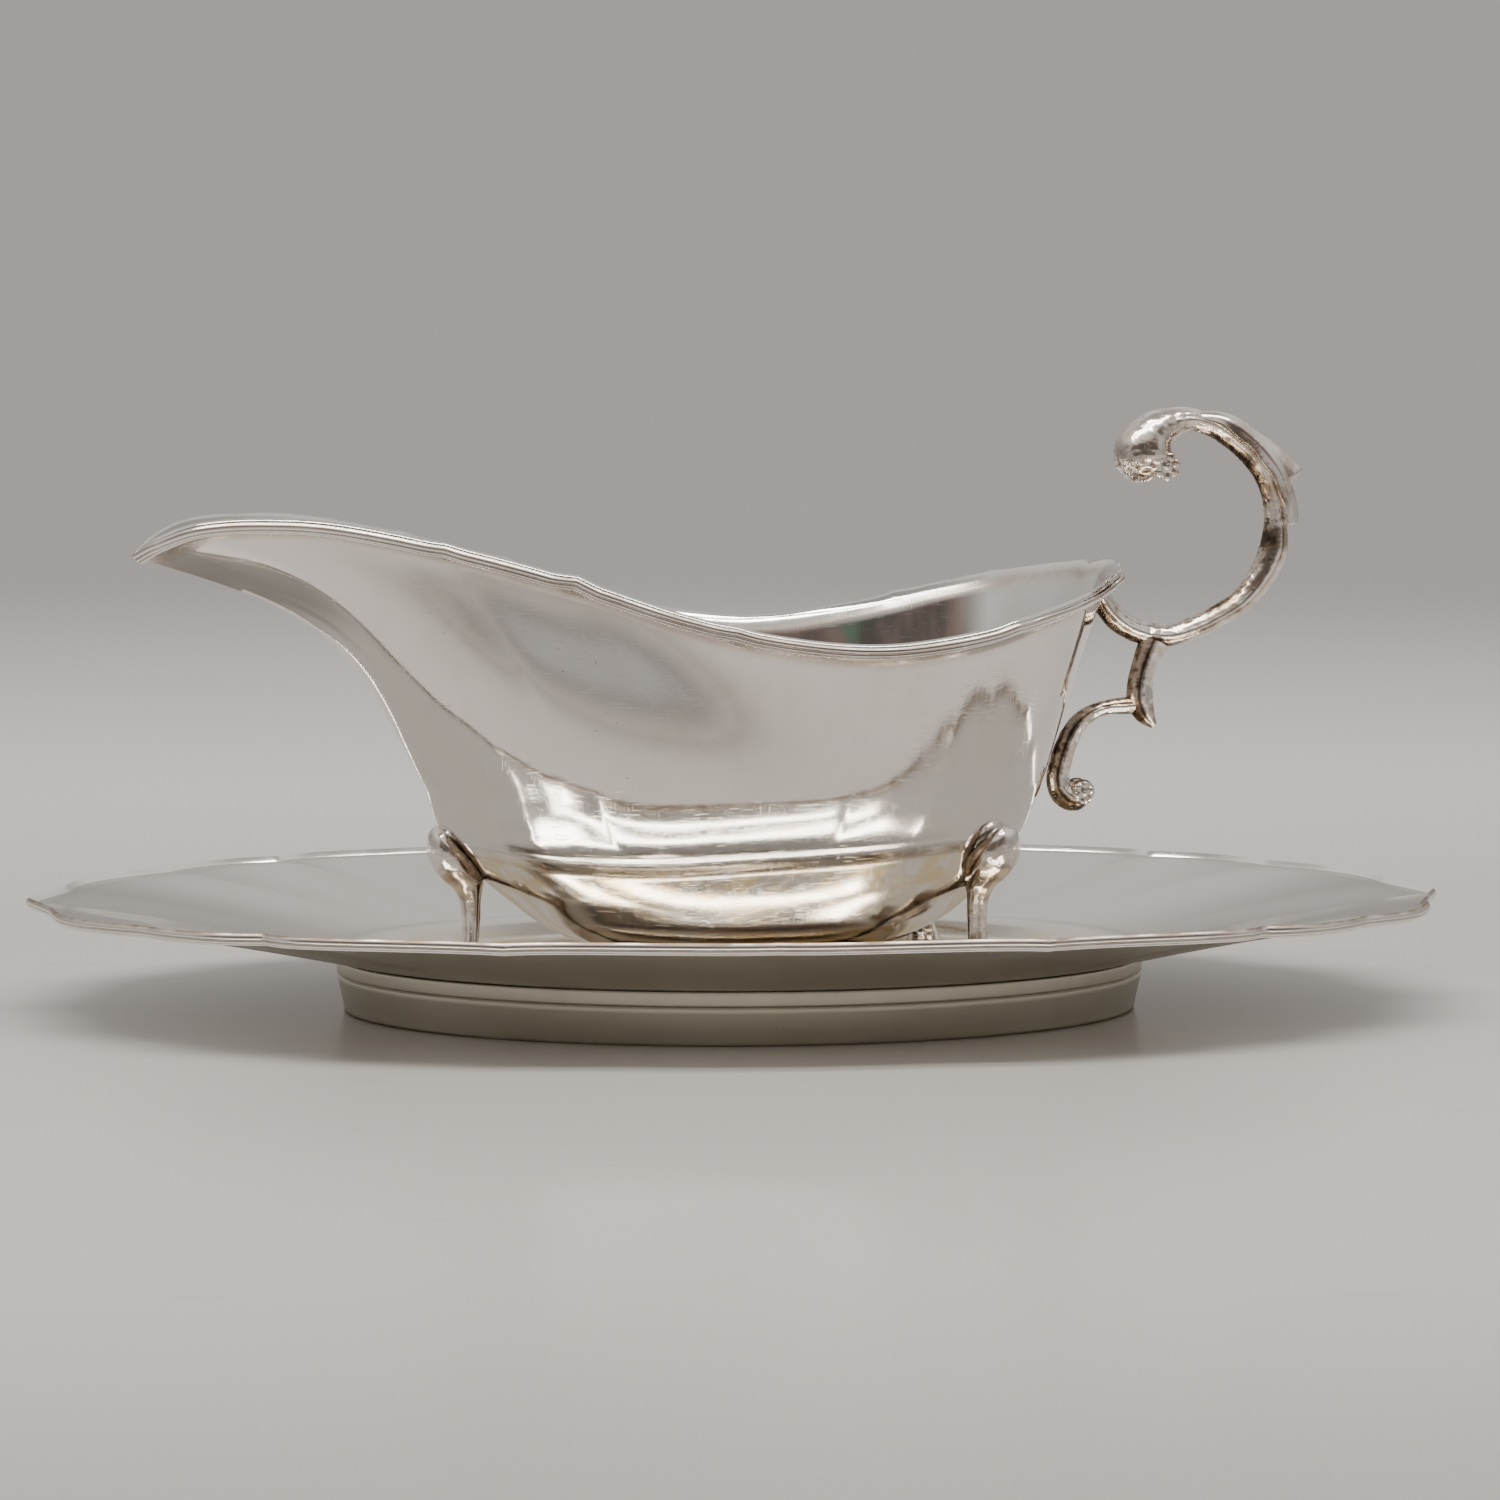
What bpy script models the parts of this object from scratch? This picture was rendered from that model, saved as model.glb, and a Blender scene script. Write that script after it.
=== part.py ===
"""Silver sauce boat on three cast feet, standing free on its own oval dish.

Frame: metres, +Z up, origin at the centre of the dish's foot ring on the table.
+X runs along the dish's long axis towards the handle, -X towards the spout.
The boat is a lift-off piece: its empty sits on the vertical centre line.
"""
import bpy
import bmesh
import math
from mathutils import Vector

MM = 0.001
GAP = 0.3            # clearance kept between touching pieces

# ---------------------------------------------------------------- dimensions, mm
# dish (stand)
DISH_HALF_LENGTH = 120.0
DISH_HALF_WIDTH = 65.2
DISH_SHEET = 0.9
WELL_A, WELL_B = 60.0, 36.8       # flat floor of the well
WELL_FLOOR = 7.0
FLANGE_A, FLANGE_B = 70.2, 44.6   # where the wall of the well turns into the flange
FLANGE_START = 10.5
DISH_RIM = 19.25                  # centre height of the border wire
BORDER_R = 1.1                    # half thickness of the applied borders
RING_TOP_A, RING_BOT_A = 69.6, 66.6
RING_ASPECT = 0.622
RING_H = 8.4
RING_WALL = 1.3

# boat
BOAT_TURN = math.radians(10.0)    # the boat stands a little askew on the dish
BOAT_SHEET = 0.9
BELLY_BOTTOM = 9.1
SHOULDER = 38.0
BELLY_ASPECT = 0.58
FOOT_BASE = WELL_FLOOR + GAP

STAND_N = 100                     # points round the dish
BOAT_N = 76                       # points round the boat


# ---------------------------------------------------------------- scene helpers
for ob in list(bpy.data.objects):
    bpy.data.objects.remove(ob, do_unlink=True)

parts = bpy.data.collections.new("sauce_boat")
cutters = bpy.data.collections.new("cutters")
bpy.context.scene.collection.children.link(parts)
bpy.context.scene.collection.children.link(cutters)


def material(name, colour, rough, metal=1.0):
    m = bpy.data.materials.new(name)
    m.use_nodes = True
    b = m.node_tree.nodes["Principled BSDF"]
    b.inputs["Base Color"].default_value = (*colour, 1.0)
    b.inputs["Roughness"].default_value = rough
    b.inputs["Metallic"].default_value = metal
    return m


SHEET_SILVER = material("silver_sheet", (0.78, 0.75, 0.71), 0.16)
BORDER_SILVER = material("silver_border", (0.74, 0.70, 0.65), 0.20)
CAST_SILVER = material("silver_cast", (0.72, 0.67, 0.62), 0.24)
DISH_SILVER = material("silver_dish", (0.78, 0.76, 0.72), 0.22)


def empty(name, parent=None):
    e = bpy.data.objects.new(name, None)
    parts.objects.link(e)
    e.parent = parent
    return e


def add(name, mesh, mat, parent):
    mesh.materials.clear()
    mesh.materials.append(mat)
    ob = bpy.data.objects.new(name, mesh)
    parts.objects.link(ob)
    ob.parent = parent
    return ob


def smooth(mesh, degrees=40):
    mesh.shade_smooth()
    mesh.set_sharp_from_angle(angle=math.radians(degrees))


def grid_mesh(name, rings, centre=None, wrap=True, caps=False):
    """Loft through rings of points that run the same way round, in mm."""
    bm = bmesh.new()
    rows = [[bm.verts.new(Vector(p) * MM) for p in ring] for ring in rings]
    n = len(rows[0])
    m = n if wrap else n - 1
    if centre is not None:
        c = bm.verts.new(Vector(centre) * MM)
        for i in range(m):
            bm.faces.new((c, rows[0][(i + 1) % n], rows[0][i]))
    for a, b in zip(rows, rows[1:]):
        for i in range(m):
            j = (i + 1) % n
            bm.faces.new((a[i], a[j], b[j], b[i]))
    if caps:
        bm.faces.new(list(reversed(rows[0])))
        bm.faces.new(rows[-1])
    bmesh.ops.recalc_face_normals(bm, faces=bm.faces[:])
    me = bpy.data.meshes.new(name)
    bm.to_mesh(me)
    bm.free()
    return me


def outward(me):
    """Turn the faces so that the body's volume is positive."""
    bm = bmesh.new()
    bm.from_mesh(me)
    bmesh.ops.recalc_face_normals(bm, faces=bm.faces[:])
    if bm.calc_volume(signed=True) < 0:
        bmesh.ops.reverse_faces(bm, faces=bm.faces[:])
    bm.to_mesh(me)
    bm.free()


def face_up(me):
    """Turn an open cup so that its faces look into the cup, upwards."""
    if sum(p.normal.z * p.area for p in me.polygons) < 0:
        me.flip_normals()


def solidify(ob, thickness, offset):
    s = ob.modifiers.new("sheet", "SOLIDIFY")
    s.thickness = thickness * MM
    s.offset = offset
    s.use_even_offset = True
    return s


def cut(ob, cutter):
    b = ob.modifiers.new("cut", "BOOLEAN")
    b.operation = "DIFFERENCE"
    b.solver = "EXACT"
    b.object = cutter
    return b


def wire(name, pts, mat, parent, closed, res=2):
    """Bar of round section along (x, y, z, radius) points, as a mesh."""
    cu = bpy.data.curves.new(name, "CURVE")
    cu.dimensions = "3D"
    cu.bevel_depth = MM
    cu.bevel_resolution = res
    cu.use_fill_caps = not closed
    sp = cu.splines.new("POLY")
    sp.points.add(len(pts) - 1)
    for p, q in zip(sp.points, pts):
        p.co = (q[0] * MM, q[1] * MM, q[2] * MM, 1.0)
        p.radius = q[3]
    sp.use_cyclic_u = closed
    tmp = bpy.data.objects.new(name + "_curve", cu)
    parts.objects.link(tmp)
    bpy.context.view_layer.update()
    me = bpy.data.meshes.new_from_object(tmp.evaluated_get(bpy.context.evaluated_depsgraph_get()))
    me.name = name
    bm = bmesh.new()
    bm.from_mesh(me)
    bmesh.ops.remove_doubles(bm, verts=bm.verts[:], dist=1e-6)
    bmesh.ops.recalc_face_normals(bm, faces=bm.faces[:])
    bm.to_mesh(me)
    bm.free()
    bpy.data.objects.remove(tmp, do_unlink=True)
    bpy.data.curves.remove(cu)
    outward(me)
    smooth(me)
    return add(name, me, mat, parent)


# ---------------------------------------------------------------- curve helpers
def lerp(a, b, t):
    return a + (b - a) * t


def bezier(p0, p1, p2, p3, t):
    s = 1 - t
    return tuple(s * s * s * a + 3 * s * s * t * b + 3 * s * t * t * c + t * t * t * d
                 for a, b, c, d in zip(p0, p1, p2, p3))


def spline(stations, per=12):
    """Catmull-Rom through the stations, each a tuple of the same length."""
    out = []
    for i in range(len(stations) - 1):
        p1, p2 = stations[i], stations[i + 1]
        p0 = stations[i - 1] if i else tuple(2 * a - b for a, b in zip(p1, p2))
        p3 = stations[i + 2] if i + 2 < len(stations) else tuple(2 * b - a for a, b in zip(p1, p2))
        for k in range(per):
            t = k / per
            out.append(tuple(0.5 * (2 * b + (c - a) * t + (2 * a - 5 * b + 4 * c - d) * t * t
                                    + (3 * b - a - 3 * c + d) * t ** 3)
                             for a, b, c, d in zip(p0, p1, p2, p3)))
    out.append(tuple(stations[-1]))
    return out


def resample(path, fractions):
    """Points of a polyline at fractions of its length in x, y, z."""
    acc = [0.0]
    for a, b in zip(path, path[1:]):
        acc.append(acc[-1] + math.dist(a[:3], b[:3]))
    out, k = [], 0
    for f in fractions:
        s = f * acc[-1]
        while k < len(acc) - 2 and acc[k + 1] < s:
            k += 1
        t = 0 if acc[k + 1] == acc[k] else (s - acc[k]) / (acc[k + 1] - acc[k])
        out.append(tuple(lerp(a, b, min(max(t, 0), 1)) for a, b in zip(path[k], path[k + 1])))
    return out


# ---------------------------------------------------------------- dish outline
# One quarter of the shaped rim: tip, notch, corner, shoulder, cusp, middle.
# Each run is an ogee given by its two end points and their two handles.
L, W = DISH_HALF_LENGTH, DISH_HALF_WIDTH
QUARTER = [
    ((L, 0.0), (118.6, 4.6), (116.4, 9.0), (115.0, 14.0)),
    ((115.0, 14.0), (113.5, 29.0), (104.5, 32.5), (98.5, 37.5)),
    ((98.5, 37.5), (93.5, 44.5), (87.5, 48.2), (79.3, 49.3)),
    ((79.3, 49.3), (76.0, 56.5), (56.0, 57.5), (42.3, 63.6)),
    ((42.3, 63.6), (33.0, 60.8), (12.0, 67.0), (0.0, W)),
]


def dish_outline(n):
    """Shaped rim, counter-clockwise from the tip at +X."""
    per = n // 20
    q = [bezier(*seg, k / per) for seg in QUARTER for k in range(per)]   # tip .. before middle
    mid = QUARTER[-1][3]
    second = [(-x, y) for x, y in reversed(q[1:])]
    half = q + [mid] + second                                            # +X tip .. before -X tip
    return half + [(-x, -y) for x, y in half]


OUTLINE = dish_outline(STAND_N)
ANGLES = [math.atan2(y / W, x / L) for x, y in OUTLINE]


def ellipse(a, b, z):
    return [(a * math.cos(t), b * math.sin(t), z) for t in ANGLES]


def inset_outline(d, z):
    """The shaped rim moved in by d along its own normal, smoothed by its neighbours."""
    out, n = [], len(OUTLINE)
    for i in range(n):
        (ax, ay), (bx, by) = OUTLINE[i - 1], OUTLINE[(i + 1) % n]
        tx, ty = bx - ax, by - ay
        s = math.hypot(tx, ty)
        out.append((OUTLINE[i][0] - d * ty / s, OUTLINE[i][1] + d * tx / s, z))
    return out


def droop(x):
    """The flange lies a little lower at its two ends than at its sides."""
    return -0.9 * max(0.0, (abs(x) - 40.0) / 80.0) ** 2


# ---------------------------------------------------------------- dish
stand = empty("stand_origin")

edge = inset_outline(2 * BORDER_R + GAP + 0.1, 0.0)
rings = [ellipse(26, 16, WELL_FLOOR), ellipse(WELL_A, WELL_B, WELL_FLOOR),
         ellipse(63.2, 39.0, WELL_FLOOR + 0.6), ellipse(66.3, 41.3, FLANGE_START - 0.9),
         ellipse(FLANGE_A, FLANGE_B, FLANGE_START)]
inner = rings[-1]
RISE = DISH_RIM + 0.4 - FLANGE_START
for f, g in ((0.2, 0.24), (0.45, 0.52), (0.7, 0.77), (0.88, 0.92), (1.0, 1.0)):
    rings.append([(lerp(a[0], b[0], f), lerp(a[1], b[1], f),
                   FLANGE_START + RISE * g + droop(b[0]) * f)
                  for a, b in zip(inner, edge)])
me = grid_mesh("stand_dish", rings, centre=(0, 0, WELL_FLOOR))
face_up(me)
smooth(me, 60)
dish = add("stand_dish", me, DISH_SILVER, stand)
solidify(dish, DISH_SHEET, -1.0)

wire("stand_border", [(x, y, DISH_RIM + droop(x), BORDER_R) for x, y, z in inset_outline(BORDER_R, 0)],
     BORDER_SILVER, stand, closed=True, res=1)

# foot ring: turned collar with a plain band at the top, drawn out to an oval
prof = [(RING_TOP_A, RING_H), (RING_TOP_A, RING_H - 1.9), (RING_TOP_A - 1.0, RING_H - 2.3),
        (RING_BOT_A, 1.2), (RING_BOT_A + 0.5, 0.0),
        (RING_BOT_A - 1.6, 0.0), (RING_BOT_A - RING_WALL, 1.2),
        (RING_TOP_A - 1.0 - RING_WALL, RING_H - 2.3), (RING_TOP_A - RING_WALL - 1.0, RING_H)]
bm = bmesh.new()
vs = [bm.verts.new((x * MM, 0, z * MM)) for x, z in prof]
for i in range(len(vs)):
    bm.edges.new((vs[i], vs[(i + 1) % len(vs)]))
me = bpy.data.meshes.new("stand_foot_ring")
bm.to_mesh(me)
bm.free()
ring = add("stand_foot_ring", me, DISH_SILVER, stand)
ring.scale = (1.0, RING_ASPECT, 1.0)
sc = ring.modifiers.new("turn", "SCREW")
sc.angle = 2 * math.pi
sc.steps = sc.render_steps = 80
sc.use_merge_vertices = True
sc.merge_threshold = 0.00001
sc.use_normal_calculate = False
sc.use_smooth_shade = True

# ---------------------------------------------------------------- boat surface
boat = empty("boat_origin")
boat.rotation_euler = (0.0, 0.0, BOAT_TURN)

# Rim from the handle end to the spout tip on one side: (x, half width, height)
RIM = [(66.2, 0.0, 73.5), (63.2, 9.5, 72.4), (59.6, 16.0, 71.5), (52.9, 24.5, 69.6),
       (43.5, 30.6, 67.2), (30.0, 34.8, 64.0), (14.0, 36.0, 62.3), (-2.0, 35.0, 63.6),
       (-18.5, 32.0, 67.3), (-35.0, 27.6, 72.8), (-52.0, 21.2, 77.5), (-70.0, 14.2, 81.2),
       (-82.0, 10.4, 82.0), (-92.0, 7.4, 81.3), (-98.2, 3.8, 78.9), (-101.2, 0.0, 76.8)]
RIM_PATH = spline(RIM, 14)

# Belly: (half length, centre x, height), each an oval; the first closes the bottom
BELLY = [(12.0, 0.2, 9.2), (23.5, 0.2, 10.3), (30.6, 0.0, 12.8), (35.6, 0.0, 15.6),
         (39.4, -0.1, 18.6), (43.4, -0.6, 22.2), (47.0, -1.2, 26.2), (49.9, -1.4, 30.2),
         (51.7, -1.3, 34.2), (53.1, -1.2, 38.2)]


def oval_half(a, b, cx, z):
    """Half of a belly oval, keener towards the spout than towards the handle."""
    pts = []
    for k in range(121):
        t = math.pi * k / 120
        c, s = math.cos(t), math.sin(t)
        keen = lerp(0.86, 1.22, min(max(-c * 1.6, 0.0), 1.0) ** 0.8 * min(max((z - 12) / 20, 0.0), 1.0))
        pts.append((cx + a * math.copysign(abs(c) ** 0.86, c), b * abs(s) ** keen, z))
    return pts


def rim_fraction(h):
    """Share of the rim's length for share h of the way round the belly."""
    return h + 0.035 * math.sin(2 * math.pi * h)


FRACTIONS = [k / (BOAT_N // 2) for k in range(BOAT_N // 2 + 1)]


def full_ring(half):
    """Mirror a half ring (y >= 0, handle to spout) into a closed ring."""
    return half + [(x, -y, z) for x, y, z in reversed(half[1:-1])]


def boat_rings(back=2.1):
    rings = [resample(oval_half(a, a * BELLY_ASPECT, cx, z), FRACTIONS) for a, cx, z in BELLY]
    low = rings[-1]
    top = resample(RIM_PATH, [rim_fraction(h) for h in FRACTIONS])
    n = len(FRACTIONS)
    beds = []
    for i in range(n):
        s, r = low[i], top[i]
        nx = math.cos(math.pi * FRACTIONS[i])
        a, b = low[max(i - 1, 0)], low[min(i + 1, n - 1)]
        tx, ty = b[0] - a[0], b[1] - a[1]
        m = math.hypot(tx, ty)
        ox, oy = (ty / m, -tx / m)
        if i == 0:
            ox, oy = 1.0, 0.0
        elif i == n - 1:
            ox, oy = -1.0, 0.0
        lean = 0.20 * oy * oy + (0.30 if ox > 0 else 0.52) * ox * ox
        span = math.dist(s, r)
        front = max(0.0, -nx) ** 3
        k0 = span * lerp(0.34, 0.465, front)
        m0 = math.sqrt(1 + lean * lean)
        chord = tuple((q - p) / span for p, q in zip(s, r))
        # leaving direction at the belly: between its own slope and the straight line to the rim
        tip = max(0.0, (FRACTIONS[i] - 0.80) / 0.20) ** 2
        f = 0.55 * oy * oy * (1 - tip)
        sx, sy, sz = (lerp(p, q, f) for p, q in zip((ox * lean / m0, oy * lean / m0, 1 / m0), chord))
        m1 = math.sqrt(sx * sx + sy * sy + sz * sz)
        p1 = (s[0] + k0 * sx / m1, s[1] + k0 * sy / m1, s[2] + k0 * sz / m1)
        # leaving direction at the rim: straight on, turning along the spout near its tip
        sink = min(max((FRACTIONS[i] - 0.55) / 0.25, 0.0), 1.0) * (1 - tip)
        g = min(1.0, tip + 0.30 * sink)
        ex, ey, ez = (lerp(p, q, g) for p, q in zip(chord, (-0.957, 0.0, 0.29)))
        me_ = math.sqrt(ex * ex + ey * ey + ez * ez)
        ex, ey, ez = ex / me_, ey / me_, ez / me_
        k1 = span * lerp(0.33, 0.50, tip)
        end = (r[0] - back * ex, r[1] - back * ey, r[2] - back * ez)
        p2 = (end[0] - k1 * ex, end[1] - k1 * ey, end[2] - k1 * ez)
        beds.append((s, p1, p2, end))
    for v in (0.14, 0.3, 0.47, 0.64, 0.8, 0.92, 1.0):
        ring = [bezier(*b, v) for b in beds]
        ring[0] = (ring[0][0], 0.0, ring[0][2])
        ring[-1] = (ring[-1][0], 0.0, ring[-1][2])
        rings.append(ring)
    return rings, top


rings, top = boat_rings()
me = grid_mesh("boat_body", [full_ring(r) for r in rings], centre=(0.4, 0, BELLY_BOTTOM))
face_up(me)
smooth(me, 60)
body = add("boat_body", me, SHEET_SILVER, boat)
solidify(body, BOAT_SHEET, 1.0)

wire("boat_border", [(x, y, z, BORDER_R) for x, y, z in full_ring(top)],
     BORDER_SILVER, boat, closed=True, res=1)


# closed form of the boat's outside, a little larger, that trims what is soldered to it
def grown(ring, d):
    out, n = [], len(ring)
    for i in range(n):
        a, b = ring[i - 1], ring[(i + 1) % n]
        tx, ty = b[0] - a[0], b[1] - a[1]
        s = math.hypot(tx, ty) or 1.0
        out.append((ring[i][0] + d * ty / s, ring[i][1] - d * tx / s, ring[i][2]))
    return out


shell = [grown(full_ring(r), GAP) for r in rings]
collar = [(x, y, z + 3.0) for x, y, z in grown(full_ring(rings[-1]), GAP + 0.9)]
me = grid_mesh("boat_trim", shell + [collar], centre=(0.2, 0, BELLY_BOTTOM - 0.4))
bm = bmesh.new()
bm.from_mesh(me)
mouth = [e for e in bm.edges if e.is_boundary]
bmesh.ops.triangle_fill(bm, use_beauty=True, edges=mouth)
bm.to_mesh(me)
bm.free()
outward(me)
trim = bpy.data.objects.new("boat_trim", me)
cutters.objects.link(trim)
trim.parent = boat
trim.hide_render = True
trim.display_type = "WIRE"

# ---------------------------------------------------------------- handle, cast in three
# Stations in the boat's upright middle plane: (x, z, half thickness)
SCROLL = [(62.6, 70.1, 1.7), (65.7, 65.7, 2.0), (69.0, 63.3, 2.0), (72.8, 62.1, 2.0),
          (76.8, 62.0, 2.0), (81.0, 63.2, 2.0), (85.0, 65.0, 2.0), (89.6, 67.7, 2.1),
          (93.2, 71.9, 2.4), (95.3, 76.3, 2.6), (95.7, 80.3, 2.2), (95.5, 83.7, 2.0),
          (94.5, 87.5, 1.9), (92.1, 91.5, 1.9), (88.5, 95.0, 1.9), (84.0, 97.9, 1.9),
          (79.6, 99.1, 2.1), (76.0, 98.5, 2.8), (73.0, 96.7, 4.0), (71.3, 93.8, 5.1),
          (71.0, 90.9, 4.4), (71.3, 88.5, 1.6)]
scroll = wire("handle_scroll", [(x, 0.0, z, r) for x, z, r in spline(SCROLL, 3)],
              CAST_SILVER, boat, closed=False, res=3)
cut(scroll, trim)

# strut with a tail, and the small scroll that runs down to the belly
STRUT = [(72.7, 59.5, 2.3), (71.7, 57.1, 2.2), (71.1, 53.5, 2.3), (71.2, 50.5, 2.4),
         (72.2, 48.2, 1.8), (73.7, 46.3, 0.7)]
FOOTING = [(70.7, 49.9, 1.5), (68.0, 49.8, 1.5), (65.2, 49.6, 1.3), (62.3, 48.7, 1.4),
           (59.7, 46.7, 1.7), (57.9, 43.6, 1.9), (56.8, 40.3, 2.0), (56.3, 37.5, 2.1),
           (57.1, 35.2, 2.3), (59.1, 34.2, 2.5), (60.9, 34.6, 2.0), (62.1, 35.2, 0.9)]
strut = wire("strut_join", [(x, 0.0, z, r) for x, z, r in spline(STRUT, 3)],
             CAST_SILVER, boat, closed=False, res=3)
parts.objects.unlink(strut)
cutters.objects.link(strut)
strut.hide_render = True
strut.display_type = "WIRE"
lower = wire("handle_lower_scroll", [(x, 0.0, z, r) for x, z, r in spline(FOOTING, 3)],
             CAST_SILVER, boat, closed=False, res=3)
u = lower.modifiers.new("strut", "BOOLEAN")
u.operation = "UNION"
u.solver = "EXACT"
u.object = strut
cut(lower, trim)

# leaf that wraps the outside of the scroll and ends in a thumb spur
LEAF = [(80.0, 99.1, 2.2, 1.2), (84.2, 97.9, 2.2, 1.5), (88.5, 95.0, 2.2, 1.6),
        (92.1, 91.5, 2.2, 1.7), (94.5, 87.5, 2.2, 1.6), (95.6, 83.6, 2.4, 1.5),
        (95.8, 80.9, 2.5, 1.3)]
path = spline(LEAF, 4)
inner_arc, leaf_rings = [], []
for i, (x, z, r, t) in enumerate(path):
    a, b = path[max(i - 1, 0)], path[min(i + 1, len(path) - 1)]
    s = math.hypot(b[0] - a[0], b[1] - a[1])
    nx, nz = -(b[1] - a[1]) / s, (b[0] - a[0]) / s          # away from the finger loop
    u = i / (len(path) - 1)
    wide = 72.0 + 12.0 * math.sin(math.pi * u)
    spur = 4.2 * max(0.0, 1 - (0.56 - u) / 0.26) ** 1.6 if u < 0.56 else 4.2 * max(0.0, 1 - (u - 0.56) / 0.09) ** 1.2
    sec = []
    for k in range(7):
        g = math.radians(lerp(-wide, wide, k / 6))
        sec.append((x + nx * r * math.cos(g), r * math.sin(g), z + nz * r * math.cos(g)))
    for k in range(6, -1, -1):
        g = math.radians(lerp(-wide, wide, k / 6))
        edge_t = t * (0.35 + 0.65 * math.cos(g)) + spur * max(0.0, math.cos(g)) ** 6
        q = r + max(edge_t, 0.45)
        sec.append((x + nx * q * math.cos(g), q * math.sin(g), z + nz * q * math.cos(g)))
    leaf_rings.append(sec)
me = grid_mesh("handle_leaf", leaf_rings, wrap=True, caps=True)
outward(me)
smooth(me)
add("handle_leaf", me, CAST_SILVER, boat)

# ---------------------------------------------------------------- feet
# Stations from the knuckle to the hoof: (height, distance outwards, depth, width)
FOOT = [(32.0, 2.2, 0.5, 1.0), (31.2, 2.0, 1.5, 2.6), (29.8, 1.5, 2.5, 3.8), (27.9, 1.0, 3.2, 4.5),
        (26.0, 0.4, 3.4, 4.6), (24.3, -0.6, 3.5, 4.1), (22.9, -1.9, 3.4, 3.5),
        (21.5, -2.6, 2.5, 2.9), (19.5, -3.0, 1.8, 2.5), (16.4, -3.1, 1.55, 2.3),
        (13.0, -3.0, 1.4, 2.4), (10.6, -2.6, 1.6, 2.7), (8.8, -2.0, 2.2, 3.2), (FOOT_BASE, -1.8, 2.4, 3.4)]


def foot(name, x, y, bearing):
    """Cast foot; (x, y) is where its knuckle sits, bearing the way it faces."""
    e = empty(name + "_origin", boat)
    e.location = (x * MM, y * MM, 0.0)
    e.rotation_euler = (0.0, 0.0, math.radians(bearing))
    secs = [[(c + d * math.cos(2 * math.pi * k / 12), w * math.sin(2 * math.pi * k / 12), z)
             for k in range(12)] for z, c, d, w in FOOT]
    me = grid_mesh(name, secs, caps=True)
    outward(me)
    smooth(me, 50)
    ob = add(name, me, CAST_SILVER, e)
    cut(ob, trim)
    return ob


foot("foot_front", -49.8, 0.0, 180.0)
foot("foot_rear_right", 38.6, -18.6, -50.0)
foot("foot_rear_left", 38.6, 18.6, 50.0)
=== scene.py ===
import math
import bpy
import bmesh
import numpy as np
from mathutils import Matrix, Vector, noise

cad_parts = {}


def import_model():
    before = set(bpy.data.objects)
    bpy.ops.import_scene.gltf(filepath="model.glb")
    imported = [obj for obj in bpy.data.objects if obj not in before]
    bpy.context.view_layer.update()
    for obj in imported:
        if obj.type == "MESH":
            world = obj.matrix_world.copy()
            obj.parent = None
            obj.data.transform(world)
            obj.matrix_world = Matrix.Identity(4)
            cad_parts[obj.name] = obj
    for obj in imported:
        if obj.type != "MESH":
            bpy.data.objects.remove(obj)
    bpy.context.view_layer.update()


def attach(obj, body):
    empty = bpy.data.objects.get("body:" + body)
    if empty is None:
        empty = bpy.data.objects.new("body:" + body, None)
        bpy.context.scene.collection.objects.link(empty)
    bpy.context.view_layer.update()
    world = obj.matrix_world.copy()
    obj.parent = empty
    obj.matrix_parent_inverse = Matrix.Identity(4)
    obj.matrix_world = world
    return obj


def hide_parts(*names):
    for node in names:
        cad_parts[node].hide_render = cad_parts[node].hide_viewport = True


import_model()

MM = 0.001
TURN = math.radians(10.0)          # the boat stands this much askew on the stand


# ================================================================ helpers
def lerp(a, b, t):
    return a + (b - a) * t


def bezier(p0, p1, p2, p3, t):
    s = 1 - t
    return tuple(s * s * s * a + 3 * s * s * t * b + 3 * s * t * t * c + t * t * t * d
                 for a, b, c, d in zip(p0, p1, p2, p3))


def spline(st, per=12):
    """Catmull-Rom through the stations."""
    out = []
    for i in range(len(st) - 1):
        p1, p2 = st[i], st[i + 1]
        p0 = st[i - 1] if i else tuple(2 * a - b for a, b in zip(p1, p2))
        p3 = st[i + 2] if i + 2 < len(st) else tuple(2 * b - a for a, b in zip(p1, p2))
        for k in range(per):
            t = k / per
            out.append(tuple(0.5 * (2 * b + (c - a) * t + (2 * a - 5 * b + 4 * c - d) * t * t
                                    + (3 * b - a - 3 * c + d) * t ** 3)
                             for a, b, c, d in zip(p0, p1, p2, p3)))
    out.append(tuple(st[-1]))
    return out


def resample(path, fractions):
    """Points of a polyline at fractions of its length."""
    p = np.array(path, float)
    acc = np.concatenate([[0], np.cumsum(np.linalg.norm(np.diff(p[:, :3], axis=0), axis=1))])
    f = np.array(fractions) * acc[-1]
    return np.stack([np.interp(f, acc, p[:, k]) for k in range(p.shape[1])], 1)


def table(x, st):
    """Smooth look-up of x in a table of (x, value)."""
    xs, ys = [s[0] for s in st], [s[1] for s in st]
    x = np.clip(x, xs[0], xs[-1])
    k = np.clip(np.searchsorted(xs, x) - 1, 0, len(xs) - 2)
    xs, ys = np.array(xs, float), np.array(ys, float)
    t = (x - xs[k]) / (xs[k + 1] - xs[k])
    t = t * t * (3 - 2 * t)
    return ys[k] + (ys[k + 1] - ys[k]) * t


def unit(v):
    v = np.asarray(v, float)
    return v / np.maximum(np.linalg.norm(v, axis=-1, keepdims=True), 1e-12)


def fbm(p, octaves=4):
    return noise.fractal(Vector(p), 0.9, 2.1, octaves, noise_basis='PERLIN_ORIGINAL')


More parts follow.
